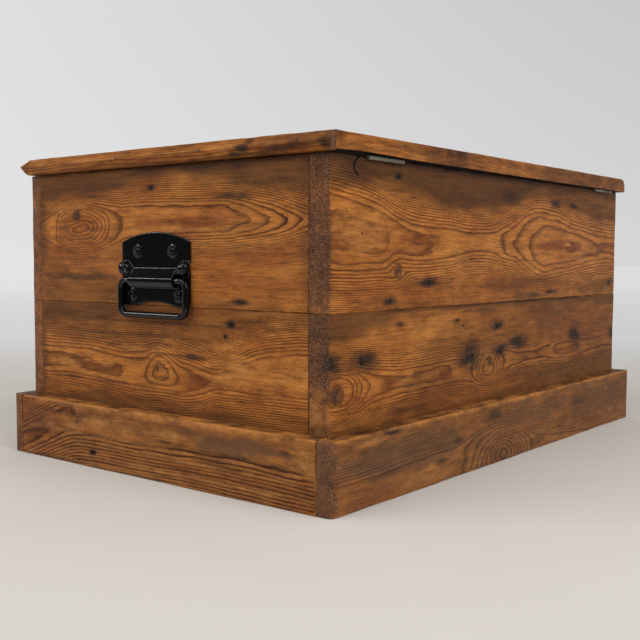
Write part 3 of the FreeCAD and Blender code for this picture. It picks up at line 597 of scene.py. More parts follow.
def dress_wood(piece, points, outward, grain, seed, axes, face, arris=None, shade=0.0):
    """Gives a mesh its rings, its place along the grain and its marks.

    axes are the two axes along and across the board; face is the outer face's place and
    the sign of its normal along the third axis. arris says how near an edge each point is,
    shade how strongly painted shade darkens it, the shadow in the gap under the lid.
    """
    along_axis, across_axis = axes
    deep_axis = 3 - along_axis - across_axis
    along = points[:, along_axis] / MM
    across = points[:, across_axis] / MM
    deep = (face[0] - points[:, deep_axis]) * face[1] / MM

    def marks(kind, offset, core=0.35):
        return spots(along, across, grain.get(kind, ()), seed + offset, core)

    count, knots, fine = ring_count(along, across, deep, grain, seed)
    set_values(piece, "ring", count)
    own = np.random.default_rng(seed).uniform(-3, 3, 3)
    set_values(piece, "place", *(np.stack([along, across, deep]) * MM + own[:, None]))
    shallow = np.exp(-(np.maximum(deep, 0) / STAIN_DEPTH) ** 2)
    grey = np.maximum(marks("grey", 13), veil(along, across, grain, seed + 37))
    set_values(piece, "tones", marks("dark", 11, 0.15) * shallow, grey, marks("warm", 17) * shallow)
    end = soft_step(0.55, 0.85, np.abs(outward[:, along_axis]))
    if arris is None:
        arris = near_arris(outward, 0.18, 0.62)
    wrap = grain.get("end_wrap", 0.0)
    if wrap:
        near_end = np.minimum(along - along.min(), along.max() - along)
        near_end += 0.22 * wrap * waves(points / MM, END_HUMPS, seed + 41)
        wrapped = 1 - soft_step(0.55 * wrap, wrap, near_end)
        end = np.maximum(end, wrapped * 0.9)
        arris = arris * (1 - 0.8 * wrapped)
    # Arrises and rub spots are lightened: partly real wear, partly a painted highlight along the edges
    edge = arris * grain.get("rubbed_and_highlit", 0.5)
    edge *= soft_step(-0.9, 0.7, waves(points / MM, RUB_HUMPS, seed + 23))
    set_values(piece, "state", marks("pale", 19) * shallow, np.maximum(edge, marks("rub_and_highlight", 31)), end)
    inner = soft_step(*(deep.max() - skin for skin in INNER_SKIN), deep)
    joint = soft_step(*JOINT_DEPTHS, deep) * (1 - inner) * grain.get("joint_grime", 0.8)
    joint = np.maximum(joint, INNER_GRIME * inner) * (1 - end)
    # The last figure value is joint dirt, and in the gap under the lid painted shade
    set_values(piece, "figure", fine, knots, np.maximum(joint, shade))
    gap, crack_on = crack_distance(along, across, grain.get("cracks", ()))
    set_values(piece, "cracks", gap, crack_on * shallow, marks("pits", 29) * shallow)


# Boards

BOARD_ROUNDING = 1.6
HOLLOW_DEPTH = 0.25 * MM
ROUNDING_HUMPS = (45, 45, 45)
CHIP_HUMPS = (13, 13, 13)
HOLLOW_HUMPS = (70, 30, 30)
# Depth of a worm hole or dent, and of the skin of the board that it draws in
PIT_DEPTH = 1.2 * MM
PIT_SKIN = 1.5 * MM


def worn_box(low, high, rounding, steps, seed, chips):
    """Points, quads and outward directions of a box with worn arrises, in metres."""
    points, quads = box_grid([axis_places(*ends, rounding, step) for *ends, step in zip(low, high, steps)])
    low, high = np.array(low), np.array(high)
    middle = (low + high) / 2
    radius = rounding * (0.75 + 0.25 * waves(points / MM, ROUNDING_HUMPS, seed))
    radius = np.minimum(radius, 0.45 * (high - low).min())[:, None]
    core = np.clip(points, low + radius, high - radius)
    offset = points - core
    outward = offset / np.maximum(np.linalg.norm(offset, axis=1)[:, None], 1e-9)
    arris = near_arris(outward, 0.15, 0.6)
    chip = soft_step(0.75, 1.5, waves(points / MM, CHIP_HUMPS, seed + 5)) * arris * chips * MM
    hollow = np.clip(waves((points - middle) / MM, HOLLOW_HUMPS, seed + 9), -1, 1)
    hollow = HOLLOW_DEPTH * (0.5 + 0.5 * hollow)
    return core + outward * radius - outward * (chip + hollow)[:, None], quads, outward


def round_in_plan(points, low, high, radius, way):
    """Draws the two upright corners of a board's outer face in to a radius."""
    low, high = np.array(low[:2]) + radius, np.array(high[:2]) - radius
    if way > 0:
        low[1] -= radius
    else:
        high[1] += radius
    core = np.clip(points[:, :2], low, high)
    offset = points[:, :2] - core
    reach = np.linalg.norm(offset, axis=1)
    pull = np.where(reach > radius, radius / np.maximum(reach, 1e-9), 1.0)[:, None]
    points[:, :2] = core + offset * pull


# How far the lid's back edge is worn away below, in millimetres: place along it, height
LID_LIFT = ((379, 1.8), (350, 2.8), (321, 3.0), (235, 1.8), (171, 1.6), (100, 1.5), (21, 1.0),
            (-322, 0.8), (-379, 0.7))
LIFT_DEPTH = 9.0 * MM
LIFT_RAMP = 3.0 * MM
LIFT_EDGE = (1.6 * MM, 0.6 * MM)
BACK_RISE = 2.3 * MM
BACK_RISE_REACH = 30.0 * MM
HINGE_ROOM = 2.2 * MM
# How strongly painted shade darkens the gap under the lid, on the lid's underside and the back's top edge
PAINTED_GAP_SHADE = 1.7


def lift_lid_edge(points, low, high):
    """Wears the overhang of the lid's back board away from below; returns where painted shade darkens its
    underside, the shadow in the gap under the lid.
    """
    lift = curve_through(LID_LIFT, points[:, 0] / MM) * MM
    share = np.clip((high.z - points[:, 2]) / (high.z - low.z), 0, 1)
    start = high.y - LIFT_DEPTH
    near = soft_step(start, start + LIFT_RAMP, points[:, 1])
    below = soft_step(0.965, 0.985, share)
    below = below * (1 - soft_step(*(high.y - edge for edge in LIFT_EDGE), points[:, 1]))
    points[:, 2] += lift * near * share
    return PAINTED_GAP_SHADE * below * soft_step(start - LIFT_RAMP, start, points[:, 1])


def raise_back_edge(points, high):
    """Brings the top edge of the back close under the lid, except at the hinges, which are let in.

    Returns where the outer strip of its top face is darkened with painted shade, the shadow in the gap under
    the lid.
    """
    share = np.clip(1 - (high.z - points[:, 2]) / BACK_RISE_REACH, 0, 1)
    outer = soft_step(high.y - LIFT_DEPTH, high.y - LIFT_RAMP, points[:, 1])
    shade = PAINTED_GAP_SHADE * outer * soft_step(0.965, 0.98, share)
    for side in ("right", "left"):
        first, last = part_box(f"{side}_hinge_carcass_leaf")
        inside = soft_step(first.x - HINGE_ROOM, first.x, points[:, 0])
        share = share * (1 - inside * (1 - soft_step(last.x, last.x + HINGE_ROOM, points[:, 0])))
    points[:, 2] += BACK_RISE * share
    return shade


def board(node, axes, way, grain, slot, seed, spacing, body="carcass", rounding=BOARD_ROUNDING, chips=1.0,
          corner=0.0):
    """A worn board that stands for a node.

    axes run along and across it, way is the sign of its outer face's normal, spacing is that of
    its mesh along, across and through it, corner the radius of its upright corners, in millimetres.
    """
    low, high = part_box(node)
    along_axis, across_axis = axes
    deep_axis = 3 - along_axis - across_axis
    steps = [0.0, 0.0, 0.0]
    steps[along_axis], steps[across_axis], steps[deep_axis] = (step * MM for step in spacing)
    points, quads, outward = worn_box(low, high, rounding * MM, steps, seed, chips)
    if corner:
        round_in_plan(points, low, high, corner * MM, way)
    face = (high[deep_axis] if way > 0 else low[deep_axis], way)
    for u, v, long, wide, strength in grain.get("pits", ()):
        off = np.hypot((points[:, along_axis] / MM - u) / long, (points[:, across_axis] / MM - v) / wide)
        shallow = np.abs(points[:, deep_axis] - face[0]) < PIT_SKIN
        points[:, deep_axis] -= way * PIT_DEPTH * strength * np.exp(-off ** 2) * shallow
    # shade is painted shade: the shadow in the gap under the lid's back edge
    shade = 0.0
    if node == "lid_back_board":
        shade = lift_lid_edge(points, low, high)
    elif node == "back_upper_board":
        shade = raise_back_edge(points, high)
    piece = mesh_from(f"{node}_worn", points, quads)
    dress_wood(piece, points, outward, grain, seed, axes, face, shade=shade)
    finish_piece(piece, node, body, woods[slot])


def plain_grain(seed, along, across, knots, stains):
    """A likely grain for a board whose own pattern the photograph doesn't show."""
    draw = np.random.default_rng(seed)
    (u0, u1), (v0, v1) = along, across
    wide = v1 - v0
    middle = draw.uniform(v0 + 0.25 * wide, v1 - 0.25 * wide)
    heart = [(u, middle + draw.normal(0, 0.03) * wide, draw.uniform(0.06, 0.18) * wide,
              draw.uniform(-0.3, 2.8)) for u in np.linspace(u0, u1, 9)]
    knot_list = [(draw.uniform(u0 + 20, u1 - 20), draw.uniform(v0 + 0.15 * wide, v1 - 0.15 * wide),
                  draw.uniform(5, 10)) for _ in range(knots)]
    dark = [(draw.uniform(u0, u1), draw.uniform(v0, v1), draw.uniform(10, 24), draw.uniform(4, 9),
             draw.uniform(0.5, 0.95)) for _ in range(stains)]
    grey = [(draw.uniform(u0, u1), v1 if draw.random() < 0.6 else v0, draw.uniform(0.3, 0.6) * (u1 - u0),
             draw.uniform(14, 30), draw.uniform(0.35, 0.6))]
    warm = [(draw.uniform(u0, u1), draw.uniform(v0, v1), draw.uniform(60, 140), draw.uniform(15, 40), 0.4)]
    return {"heart": heart, "knots": knot_list, "dark": dark, "grey": grey, "warm": warm,
            "close": draw.uniform(3.3, 4.8)}


# Grain of the boards that the photograph shows. A heart's station is its place along the board, its
# place across it, how far out its close rings begin and how many rings lie within; dark, grey, warm,
# pale and rub spots and pits are place, half lengths and strength; rub spots are wear and painted
# highlight together. Veils are lines of even greyness; right under the lid a veil is also painted shadow.

RIGHT_END_UPPER = {
    "heart": [(-240, 300, 9, -0.4), (-215, 299, 13, -0.3), (-200, 299, 19, 0.1), (-190, 298, 22, 2.4),
        (-180, 298, 24, 4.4), (-170, 299, 25.5, 5.9), (-149, 300, 26.5, 6.75), (-130, 298, 26, 6.1),
        (-118, 298, 24.5, 4.6), (-105, 298.5, 22.5, 3.1), (-92, 299, 20, 1.1), (-80, 300, 18, 0.5),
        (-70, 301, 16, 0.1), (-50, 303, 14.5, -0.2), (0, 305, 13, -0.3), (60, 304, 12.5, -0.2),
        (100, 304, 12.5, -0.3), (125, 303.5, 13, 0.5), (145, 303, 13, 1.1), (170, 303, 12, 1.1),
        (195, 303, 10, 1.1), (215, 303, 8, 1.1), (228, 303, 7, 1.1)],
    "rise": [(100, 0.0), (125, 1.0), (145, 2.0), (170, 3.0), (195, 4.0), (215, 5.0), (228, 5.5)],
    "close": 3.1, "bow": 1.25, "tight": 40.0, "calm": 7.0, "knots": [(-157, 315, 7.5)],
    "dark": [(-157, 315, 8, 8, 0.55), (-152, 313, 4, 7, 0.6), (-15, 343, 11, 5, 0.95),
        (112, 329, 24, 4, 0.8), (132, 329, 14, 6, 0.75), (128, 212, 16, 4.0, 1.0)],
    "grey": [(-150, 222, 120, 22, 0.5), (-160, 237, 90, 8, 0.8), (-232, 300, 14, 90, 0.6),
        (222, 290, 12, 110, 0.4), (20, 208, 220, 7, 0.4), (150, 330, 90, 8, 0.35)],
    # The second veil, right under the lid, is dirt with the lid's painted shadow
    "veils": [(0.72, 1, [(-240, 330), (-200, 336), (-150, 338), (-90, 342), (-40, 350), (20, 354),
            (90, 348), (140, 336), (200, 334), (230, 328)]),
        (1.0, 1, [(-240, 362), (-100, 364), (-30, 361), (60, 357), (140, 354), (230, 358)]),
        (0.45, -1, [(-240, 246), (-160, 243), (-80, 238), (-40, 215), (60, 204), (230, 204)])],
    "warm": [(60, 302, 90, 7, 0.9), (-20, 300, 60, 5, 0.6), (-150, 345, 120, 12, 0.5),
        (150, 230, 90, 20, 0.3), (30, 265, 240, 16, 0.25), (-150, 300, 50, 34, 0.5),
        (-160, 268, 90, 26, 0.45)],
    "pale": [(120, 303, 30, 8, 0.4), (30, 293, 60, 4, 0.4), (140, 275, 80, 8, 0.3)],
    "pits": [(-15, 343, 2.5, 2.2, 1.0), (118, 213, 5.0, 1.2, 1.0), (134, 211, 5.0, 1.2, 0.9)],
    "rubbed_and_highlit": 0.35,
}
RIGHT_END_LOWER = {
    "heart": [(-240, 124, 16, 1.5), (-150, 123.5, 16, 1.35), (-100, 122.5, 16, 1.2), (-79, 122, 16, 1.1),
        (-62, 122, 16.5, 0.8), (-45, 123, 17.5, 0.75), (-28, 124, 18.5, 1.0), (-15, 126, 19.5, 2.1),
        (-5, 127, 20, 2.6), (10, 126, 19, 2.45), (22, 123.5, 17.5, 1.6), (32, 121, 16, 1.05),
        (50, 120, 14, 0.55), (70, 120, 10, 0.3), (88, 121, 5, 0.05), (110, 124, 8, -0.2),
        (150, 131, 14, -0.3), (190, 135, 17, -0.3), (228, 137, 18, -0.3)],
    "close": 3.9, "tight": 30.0, "calm": 9.0, "knots": [(-7, 131, 4.0)],
    "dark": [(114, 187, 9, 6, 1.0), (106, 173, 6, 4, 1.0), (57, 147, 24, 4, 0.75), (25, 147, 40, 2, 0.5),
        (-60, 168, 180, 2.0, 0.5), (30, 184, 200, 2.5, 0.45), (-120, 107, 130, 1.6, 0.6)],
    "grey": [(-232, 120, 12, 90, 0.55), (150, 196, 90, 10, 0.35)],
    "veils": [(0.7, 1, [(-240, 176), (-160, 178), (-90, 182), (-40, 192), (60, 198), (230, 199)]),
        (0.35, 1, [(-240, 160), (-60, 154), (60, 162), (140, 180), (230, 190)]),
        (0.5, -1, [(-240, 88), (-100, 96), (40, 94), (230, 84)])],
    "warm": [(60, 118, 35, 10, 0.7), (-170, 158, 110, 12, 0.25), (-90, 122, 24, 6, 0.6),
        (-60, 100, 160, 12, 0.3)],
    "pale": [(120, 138, 40, 24, 0.7), (190, 135, 70, 22, 0.5), (-185, 124, 34, 5, 0.9),
        (-30, 152, 60, 4, 0.5), (120, 130, 10, 6, 0.9)],
    "pits": [(115, 187, 3, 2.4, 1.0), (105, 173, 2.2, 2.2, 1.0)],
    "rubbed_and_highlit": 0.35,
}
BACK_UPPER = {
    "heart": [(385, 292, 34, 1.45), (335, 290, 33, 1.45), (300, 287, 30, 1.35), (280, 284, 27, 1.15),
        (262, 281, 22, 0.6), (235, 279, 16, 0.5), (212, 278, 14, 0.4), (192, 277.5, 13.5, 0.1),
        (172, 277.5, 12.5, -0.25), (130, 278, 10, -0.3), (100, 279.5, 6.5, -0.3), (62, 279.6, 6, -0.3),
        (30, 280, 8, -0.2), (7, 280, 14, 0.1), (-12, 281, 18, 0.6), (-31, 282, 22, 1.1),
        (-48, 282, 29, 1.6), (-65, 282, 35, 2.1), (-85, 281, 40, 2.6), (-110, 280, 43, 3.0),
        (-143, 281, 41, 3.05), (-175, 281, 38, 3.05), (-211, 279.5, 33, 3.0), (-256, 279, 27.5, 2.6),
        (-285, 279.5, 26, 2.35), (-315, 280, 24, 2.1), (-340, 279.5, 23, 2.2), (-385, 279, 22, 2.45)],
    "close": 4.9, "tight": 14.0, "calm": 6.0, "knots": [(254, 246, 8.5)],
    # The last dark spot, a strip along the whole top edge, is painted shade of the gap under the lid
    "dark": [(257, 244, 5, 5, 0.45), (250, 248, 3, 4, 0.35), (190, 233, 34, 7, 0.95),
        (270, 213, 16, 6, 0.95), (-135, 213, 28, 4, 0.95), (-355, 222, 16, 7, 0.9),
        (-150, 341, 24, 11, 0.95), (-217, 338, 14, 4, 1.0), (-20, 343, 44, 12, 0.55),
        (255, 351, 9, 5, 0.95), (-90, 210, 30, 3, 0.7), (330, 350, 40, 16, 0.45), (100, 368, 420, 7, 0.8)],
    "grey": [(380, 262, 7, 62, 0.55), (-330, 215, 90, 16, 0.4), (-60, 208, 60, 10, 0.5),
        (-60, 226, 150, 12, 0.4), (130, 208, 200, 5, 0.35)],
    "veils": [(0.62, 1, [(379, 338), (330, 336), (290, 338), (250, 334), (200, 326), (150, 321), (80, 319),
            (20, 322), (-30, 334), (-80, 344), (-140, 341), (-200, 334), (-260, 326), (-320, 320),
            (-379, 318)]),
        (0.85, 1, [(379, 352), (300, 346), (240, 340), (170, 326), (80, 322), (20, 326), (-40, 342),
            (-90, 352), (-150, 352), (-379, 350)])],
    "warm": [(-122, 279, 34, 8, 1.0), (-165, 279, 40, 7, 1.0), (-215, 279, 34, 7, 1.0),
        (-170, 284, 60, 4, 1.0), (200, 281, 50, 7, 0.7), (292, 283, 22, 9, 0.7), (-330, 281, 30, 5, 0.8),
        (-370, 279, 20, 6, 0.5), (0, 222, 380, 14, 0.4)],
    "pale": [(60, 279, 40, 8, 0.3), (-190, 281, 16, 2.2, 1.0), (330, 290, 60, 26, 0.7)],
    "end_wrap": 2.5,
    "cracks": [[(328.4, 367.5), (333.3, 363.6), (336.9, 359.7), (337.6, 355.5), (335.8, 351.6),
            (331.7, 348.7)]],
    "pits": [(255, 351, 2.4, 2.0, 1.0), (322, 287, 1.6, 1.4, 1.0), (190, 233, 2.4, 2.0, 1.0),
        (270, 213, 2.2, 1.8, 0.9), (-135, 213, 2.2, 1.8, 0.9), (-355, 223, 2.4, 2.0, 1.0)],
    "rubbed_and_highlit": 0.4,
}
BACK_LOWER = {
    "heart": [(385, 120, 17, 4.5), (350, 120, 18, 4.6), (339, 120, 18, 4.1), (330, 120.5, 17.5, 3.1),
        (323, 121, 17, 2.1), (308, 122, 14.5, 1.1), (290, 123, 12, 0.7), (250, 123, 9.5, 0.6),
        (200, 123, 9, 0.52), (162, 123, 9, 0.4), (140, 123, 9, 0.1), (120, 122.5, 9, -0.3),
        (100, 122, 9.5, -0.3), (88, 122, 12, 0.0), (82, 122, 13, 0.2), (74, 121.5, 15, 1.1),
        (66, 121.5, 16.5, 2.1), (58, 121, 18, 3.1), (44, 121, 19, 3.9), (28, 121.5, 18, 3.1),
        (20, 122, 16.5, 2.1), (11, 123, 15, 1.1), (2, 124, 12, 0.2), (-20, 126, 6, -0.2),
        (-75, 127, 3, -0.3), (-130, 128, 5, -0.3), (-152, 128, 7, 0.1), (-175, 128, 9, 0.55),
        (-200, 128, 9.5, 0.65), (-230, 128, 8.5, 0.4), (-252, 128, 7, 0.1), (-290, 128, 6, -0.3),
        (-385, 128, 6, -0.3)],
    "close": 3.9, "tight": 16.0, "bow": 1.6,
    "knots": [(366, 119, 12.0), (40, 129, 7.0)],
    "dark": [(368, 116, 3, 7, 0.9), (364, 124, 4, 3, 0.7), (40, 128, 2.5, 5, 0.8), (322, 150, 32, 14, 1.0),
        (90, 139, 44, 19, 1.0), (11, 139, 28, 13, 1.0), (22, 173, 23, 9, 1.0), (-40, 150, 32, 12, 0.95),
        (-223, 147, 28, 14, 1.0), (-372, 139, 16, 10, 0.9), (123, 185, 12, 4, 0.9), (250, 187, 12, 4, 0.8),
        (378, 150, 28, 14, 1.0), (245, 88, 46, 6, 0.6), (108, 178, 4, 3, 0.9), (60, 195, 60, 5, 0.6),
        (0, 203, 400, 3, 0.7)],
    "grey": [(-130, 184, 110, 26, 0.6), (-300, 190, 90, 14, 0.5), (-80, 100, 90, 16, 0.5),
        (-150, 165, 200, 16, 0.4), (380, 160, 7, 40, 0.4)],
    "veils": [(0.7, 1, [(379, 172), (330, 178), (280, 188), (220, 196), (100, 199), (0, 197), (-60, 190),
            (-200, 192), (-379, 184)]),
        (0.3, -1, [(379, 90), (250, 100), (200, 150), (100, 190), (-379, 200)]),
        (0.6, -1, [(379, 82), (150, 84), (0, 88), (-100, 104), (-200, 114), (-379, 118)])],
    "warm": [(268, 123, 24, 4, 0.9), (148, 122, 16, 6, 1.0), (-190, 127, 50, 6, 0.8),
        (60, 100, 260, 14, 0.35), (-250, 160, 170, 50, 0.4), (330, 100, 60, 60, 0.2)],
    "pale": [(225, 122, 20, 8, 0.4), (180, 178, 70, 14, 0.4)],
    "rub_and_highlight": [(381, 96, 4, 26, 0.45)], "end_wrap": 2.5,
    "pits": [(322, 150, 3.4, 2.8, 1.0), (108, 178, 2.0, 2.0, 1.0), (22, 173, 3, 2.4, 1.0),
        (10, 138, 3, 2.8, 0.9), (85, 139, 3, 2.6, 0.9), (122, 185, 2.4, 2, 0.9), (-40, 151, 2.4, 2.0, 0.8),
        (250, 187, 2, 1.6, 0.8)],
    "rubbed_and_highlit": 0.4,
}
PLINTH_RIGHT = {
    "heart": [(-275, 6, 16, 1.6), (-250, 20, 16, 1.4), (-200, 40, 17, 1.1), (-150, 57, 17, 0.5),
        (-120, 61, 17, -0.3), (0, 64, 17, -0.4), (150, 62, 16, -0.35), (255, 60, 17, -0.4)],
    "close": 4.6, "tight": 90.0, "calm": 20.0,
    "dark": [(-103, 19, 9, 3.5, 1.0), (-125, 63, 22, 6, 0.8), (-150, 74, 50, 3, 0.6),
        (30, 48, 40, 2.5, 0.8), (120, 46, 70, 2, 0.7), (210, 60, 10, 3, 0.7), (-200, 2, 60, 4, 0.5)],
    "grey": [(140, 57, 92, 13, 0.72), (80, 63, 60, 7, 0.5), (-264, 30, 12, 60, 0.8), (-20, 70, 60, 3, 0.4),
        (-60, -2, 260, 7, 0.5), (-220, 50, 50, 24, 0.35)],
    "warm": [(-215, 50, 60, 26, 0.7), (-60, 70, 200, 5, 0.5), (120, 62, 110, 10, 0.5),
        (100, 22, 160, 10, 0.35)],
    "pale": [(-145, 48, 24, 7, 1.0), (-188, 45, 16, 6, 0.8), (-40, 58, 130, 9, 0.8), (40, 58, 30, 7, 1.0),
        (232, 52, 24, 18, 1.0), (-60, 40, 240, 2, 0.6), (40, 14, 260, 3, 0.7), (60, 30, 240, 3, 0.6),
        (-60, 5, 200, 2.5, 0.7)],
    # Rub spots along the top arris: wear with a painted highlight
    "rub_and_highlight": [(60, 76, 260, 5.5, 0.85), (-150, 77, 90, 4, 0.7), (0, 72, 300, 2.5, 0.35)],
    "veils": [(0.22, 1, [(-275, -20), (255, -20)])],
    "pits": [(-103, 19, 6, 3, 1.0)], "rubbed_and_highlit": 1.0,
}
PLINTH_BACK = {
    "heart": [(405, -6, 34, -0.4), (200, -6, 34, -0.4), (150, -2, 34, -0.2), (120, 4, 36, 1.4),
        (90, 8, 38, 3.6), (60, 10, 37, 6.2), (37, 11, 36, 7.7), (15, 10, 33, 6.2), (-10, 8, 28, 3.4),
        (-30, 4, 24, 1.3), (-50, -4, 24, -0.2), (-100, -14, 26, -0.4), (-200, -22, 26, -0.4),
        (-405, -30, 30, -0.4)],
    "close": 3.4, "bow": 1.25, "tight": 60.0, "calm": 1.0, "soft": 0.85,
    "dark": [(155, 43, 14, 6, 0.7), (65, 63, 24, 10, 0.7), (292, 74, 26, 4, 0.9), (-195, 52, 34, 12, 0.5),
        (345, 60, 10, 8, 0.3), (399, 30, 9, 70, 0.3), (-60, 12, 26, 8, 0.5)],
    "grey": [(260, 45, 190, 34, 0.75), (-60, 55, 190, 20, 0.6), (-280, 45, 170, 34, 0.65),
        (398, 30, 8, 60, 0.15), (60, 20, 110, 50, 0.55)],
    "warm": [(360, 68, 40, 8, 0.5), (350, 6, 70, 9, 0.6), (-20, 40, 60, 20, 0.3), (-250, 30, 150, 30, 0.3)],
    "pale": [(215, 14, 60, 8, 0.7), (285, 46, 10, 9, 0.8), (-330, 20, 60, 12, 0.4), (330, 72, 30, 4, 0.7)],
    # Rub spots along the top arris: wear with a painted highlight
    "rub_and_highlight": [(0, 77, 380, 4, 0.7), (330, 68, 30, 6, 0.5)],
    "veils": [(0.35, 1, [(-400, -20), (400, -20)])],
    "rubbed_and_highlit": 0.9,
}


# The carcass. Reaches of the grain in millimetres, along the boards and up them.

CARCASS_SEED = 131
SEED_STEP = 31
END_REACH = (-233, 224)
BACK_REACH = (-379, 379)
BOARD_WIDTH = 164
BOARD_FEET = {"lower": 40, "upper": 204}
PLINTH_REACHES = {"end": (-252, 252), "long": (-400, 400)}
PLINTH_RISE = (0, 78)
POST_REACH = (40, 334)
BATTEN_REACH = (-215, 200)
# Spacing of the mesh along, across and through each kind of board
SIDE_SPACING = (2.2, 2.2, 4.0)
PLINTH_SPACING = (2.2, 2.2, 2.0)
BOTTOM_SPACING = (4, 4, 5)
POST_SPACING = (4, 3, 3)
BATTEN_SPACING = (3, 3, 3)
PLINTH_ROUNDING = 3.0
PLINTH_CORNER = 11.0
PLINTH_CHIPS = 1.6
# How far the end grain of the plinth's front and back shows round their corners
PLINTH_END_WRAP = 10.0
BOTTOM_BOARDS = 4
# Each side's name, the axis along it, the sign of its outward way, and where the grain was drawn
SIDES = (
    ("right", 1, 1, {"lower": RIGHT_END_LOWER, "upper": RIGHT_END_UPPER, "plinth": PLINTH_RIGHT}),
    ("left", 1, -1, {}),
    ("back", 0, 1, {"lower": BACK_LOWER, "upper": BACK_UPPER, "plinth": PLINTH_BACK}),
    ("front", 0, -1, {}),
)


def hidden_board(name, axes, way, along, knots, stains, seed, spacing, body="carcass"):
    """A board inside the chest, its grain made up for its own width."""
    low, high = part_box(name)
    grain = plain_grain(seed, along, (low[axes[1]] / MM, high[axes[1]] / MM), knots, stains)
    board(name, axes, way, grain, "pine_hidden", seed, spacing, body)


def make_carcass():
    seeds = itertools.count(CARCASS_SEED, SEED_STEP)
    for level, foot in BOARD_FEET.items():
        for side, axis, way, drawn in SIDES:
            seed = next(seeds)
            name, reach, stains = (f"{side}_end", END_REACH, 4) if axis == 1 else (side, BACK_REACH, 5)
            grain = drawn.get(level) or plain_grain(seed, reach, (foot, foot + BOARD_WIDTH), 2, stains)
            board(f"{name}_{level}_board", (axis, 2), way, grain, "pine_sides", seed, SIDE_SPACING)
    for side, axis, way, drawn in SIDES:
        seed = next(seeds)
        wrap, corner = ({}, 0.0) if axis == 1 else ({"end_wrap": PLINTH_END_WRAP}, PLINTH_CORNER)
        reach = PLINTH_REACHES["end" if axis == 1 else "long"]
        grain = {**(drawn.get("plinth") or plain_grain(seed, reach, PLINTH_RISE, 1, 4)), **wrap}
        board(f"plinth_{side}", (axis, 2), way, grain, "pine_plinth", seed, PLINTH_SPACING,
              rounding=PLINTH_ROUNDING, chips=PLINTH_CHIPS, corner=corner)
    for number in range(1, BOTTOM_BOARDS + 1):
        hidden_board(f"bottom_board_{number}", (0, 1), -1, BACK_REACH, 2, 2, next(seeds), BOTTOM_SPACING)
    for side in ("right", "left"):
        for face, way in (("back", -1), ("front", 1)):
            name = f"{face}_{side}_corner_post"
            hidden_board(name, (2, 0), way, POST_REACH, 0, 0, next(seeds), POST_SPACING)
    for side in ("right", "left"):
        name = f"lid_{side}_batten"
        hidden_board(name, (1, 0), -1, BATTEN_REACH, 0, 2, next(seeds), BATTEN_SPACING, "lid")


# The lid

LID_SEED = 931
LID_SPACING = (2.4, 2.4, 2.2)
LID_BACK = {
    "heart": [(-390, 185, 14, 0.2), (-150, 190, 14, 0.0), (120, 183, 14, 0.3), (390, 188, 14, 0.0)],
    "knots": [],
    "dark": [(375, 258, 10, 14, 0.6), (135, 258, 18, 10, 0.75), (160, 258, 12, 8, 0.6),
        (-40, 180, 20, 8, 0.8)],
    "grey": [(-250, 258, 160, 10, 0.5), (150, 256, 60, 10, 0.5)],
    "warm": [(0, 262, 420, 12, 0.5), (200, 262, 90, 8, 0.8)],
    "joint_grime": 0.2,
}


def make_lid_boards():
    seeds = itertools.count(LID_SEED, SEED_STEP)
    for place in ("front", "middle", "back"):
        seed = next(seeds)
        name = f"lid_{place}_board"
        low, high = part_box(name)
        grain = {**plain_grain(seed, BACK_REACH, (low.y / MM, high.y / MM), 2, 3), "rubbed_and_highlit": 0.5}
        if place == "back":
            grain.update(LID_BACK)
        board(name, (0, 1), 1, grain, "pine_lid", seed, LID_SPACING, "lid")


# Section of the edge moulding as shares of its width and height, from the lid's underside outward
NOSE_SHARES = ((0, 0), (0.54, 0), (1, 0.5), (0.96, 0.58), (0.74, 0.68), (0.33, 1), (0, 1))
WORN_NOSE_SHARES = ((0, 0), (0.97, 0), (1, 0.10), (0.95, 0.45), (0.80, 0.78), (0.52, 0.95), (0.25, 1), (0, 1))
NOSE_STEP = 1.5 * MM
NOSE_PASSES = 2
NOSE_SPACING = 2.4 * MM
NOSE_TUCK = 2.0 * MM
NOSE_TUCK_SHARE = 0.10
NOSE_HOLLOW = 0.30
NOSE_CHIP = 0.4
NOSE_CHIP_HUMPS = (16, 16, 16)
NOSE_HOLLOW_HUMPS = (60, 60, 40)
# How far outside the lid's boards a point of the moulding takes wear
NOSE_SHOWN = 0.1 * MM


def rounded_outline(shares, width, height):
    """A closed outline with a point every step, its corners rounded; and how near a corner each point is."""
    corners = np.array(shares, float) * (width, height)
    points, sharp = [], []
    for here, there in zip(corners, np.roll(corners, -1, axis=0)):
        count = max(2, int(round(np.hypot(*(there - here)) / NOSE_STEP)))
        for part in range(count):
            points.append(here + (there - here) * part / count)
            sharp.append(1.0 if part == 0 else 0.0)
    points, sharp = np.array(points), np.array(sharp)
    fixed = points[:, 0] < NOSE_STEP * 0.1
    for _ in range(NOSE_PASSES):
        smooth = (np.roll(points, 1, axis=0) + 2 * points + np.roll(points, -1, axis=0)) / 4
        points = np.where(fixed[:, None], points, smooth)
        sharp = (np.roll(sharp, 1) + 2 * sharp + np.roll(sharp, -1)) / 4 * 1.25
    return points, np.clip(sharp, 0, 1)


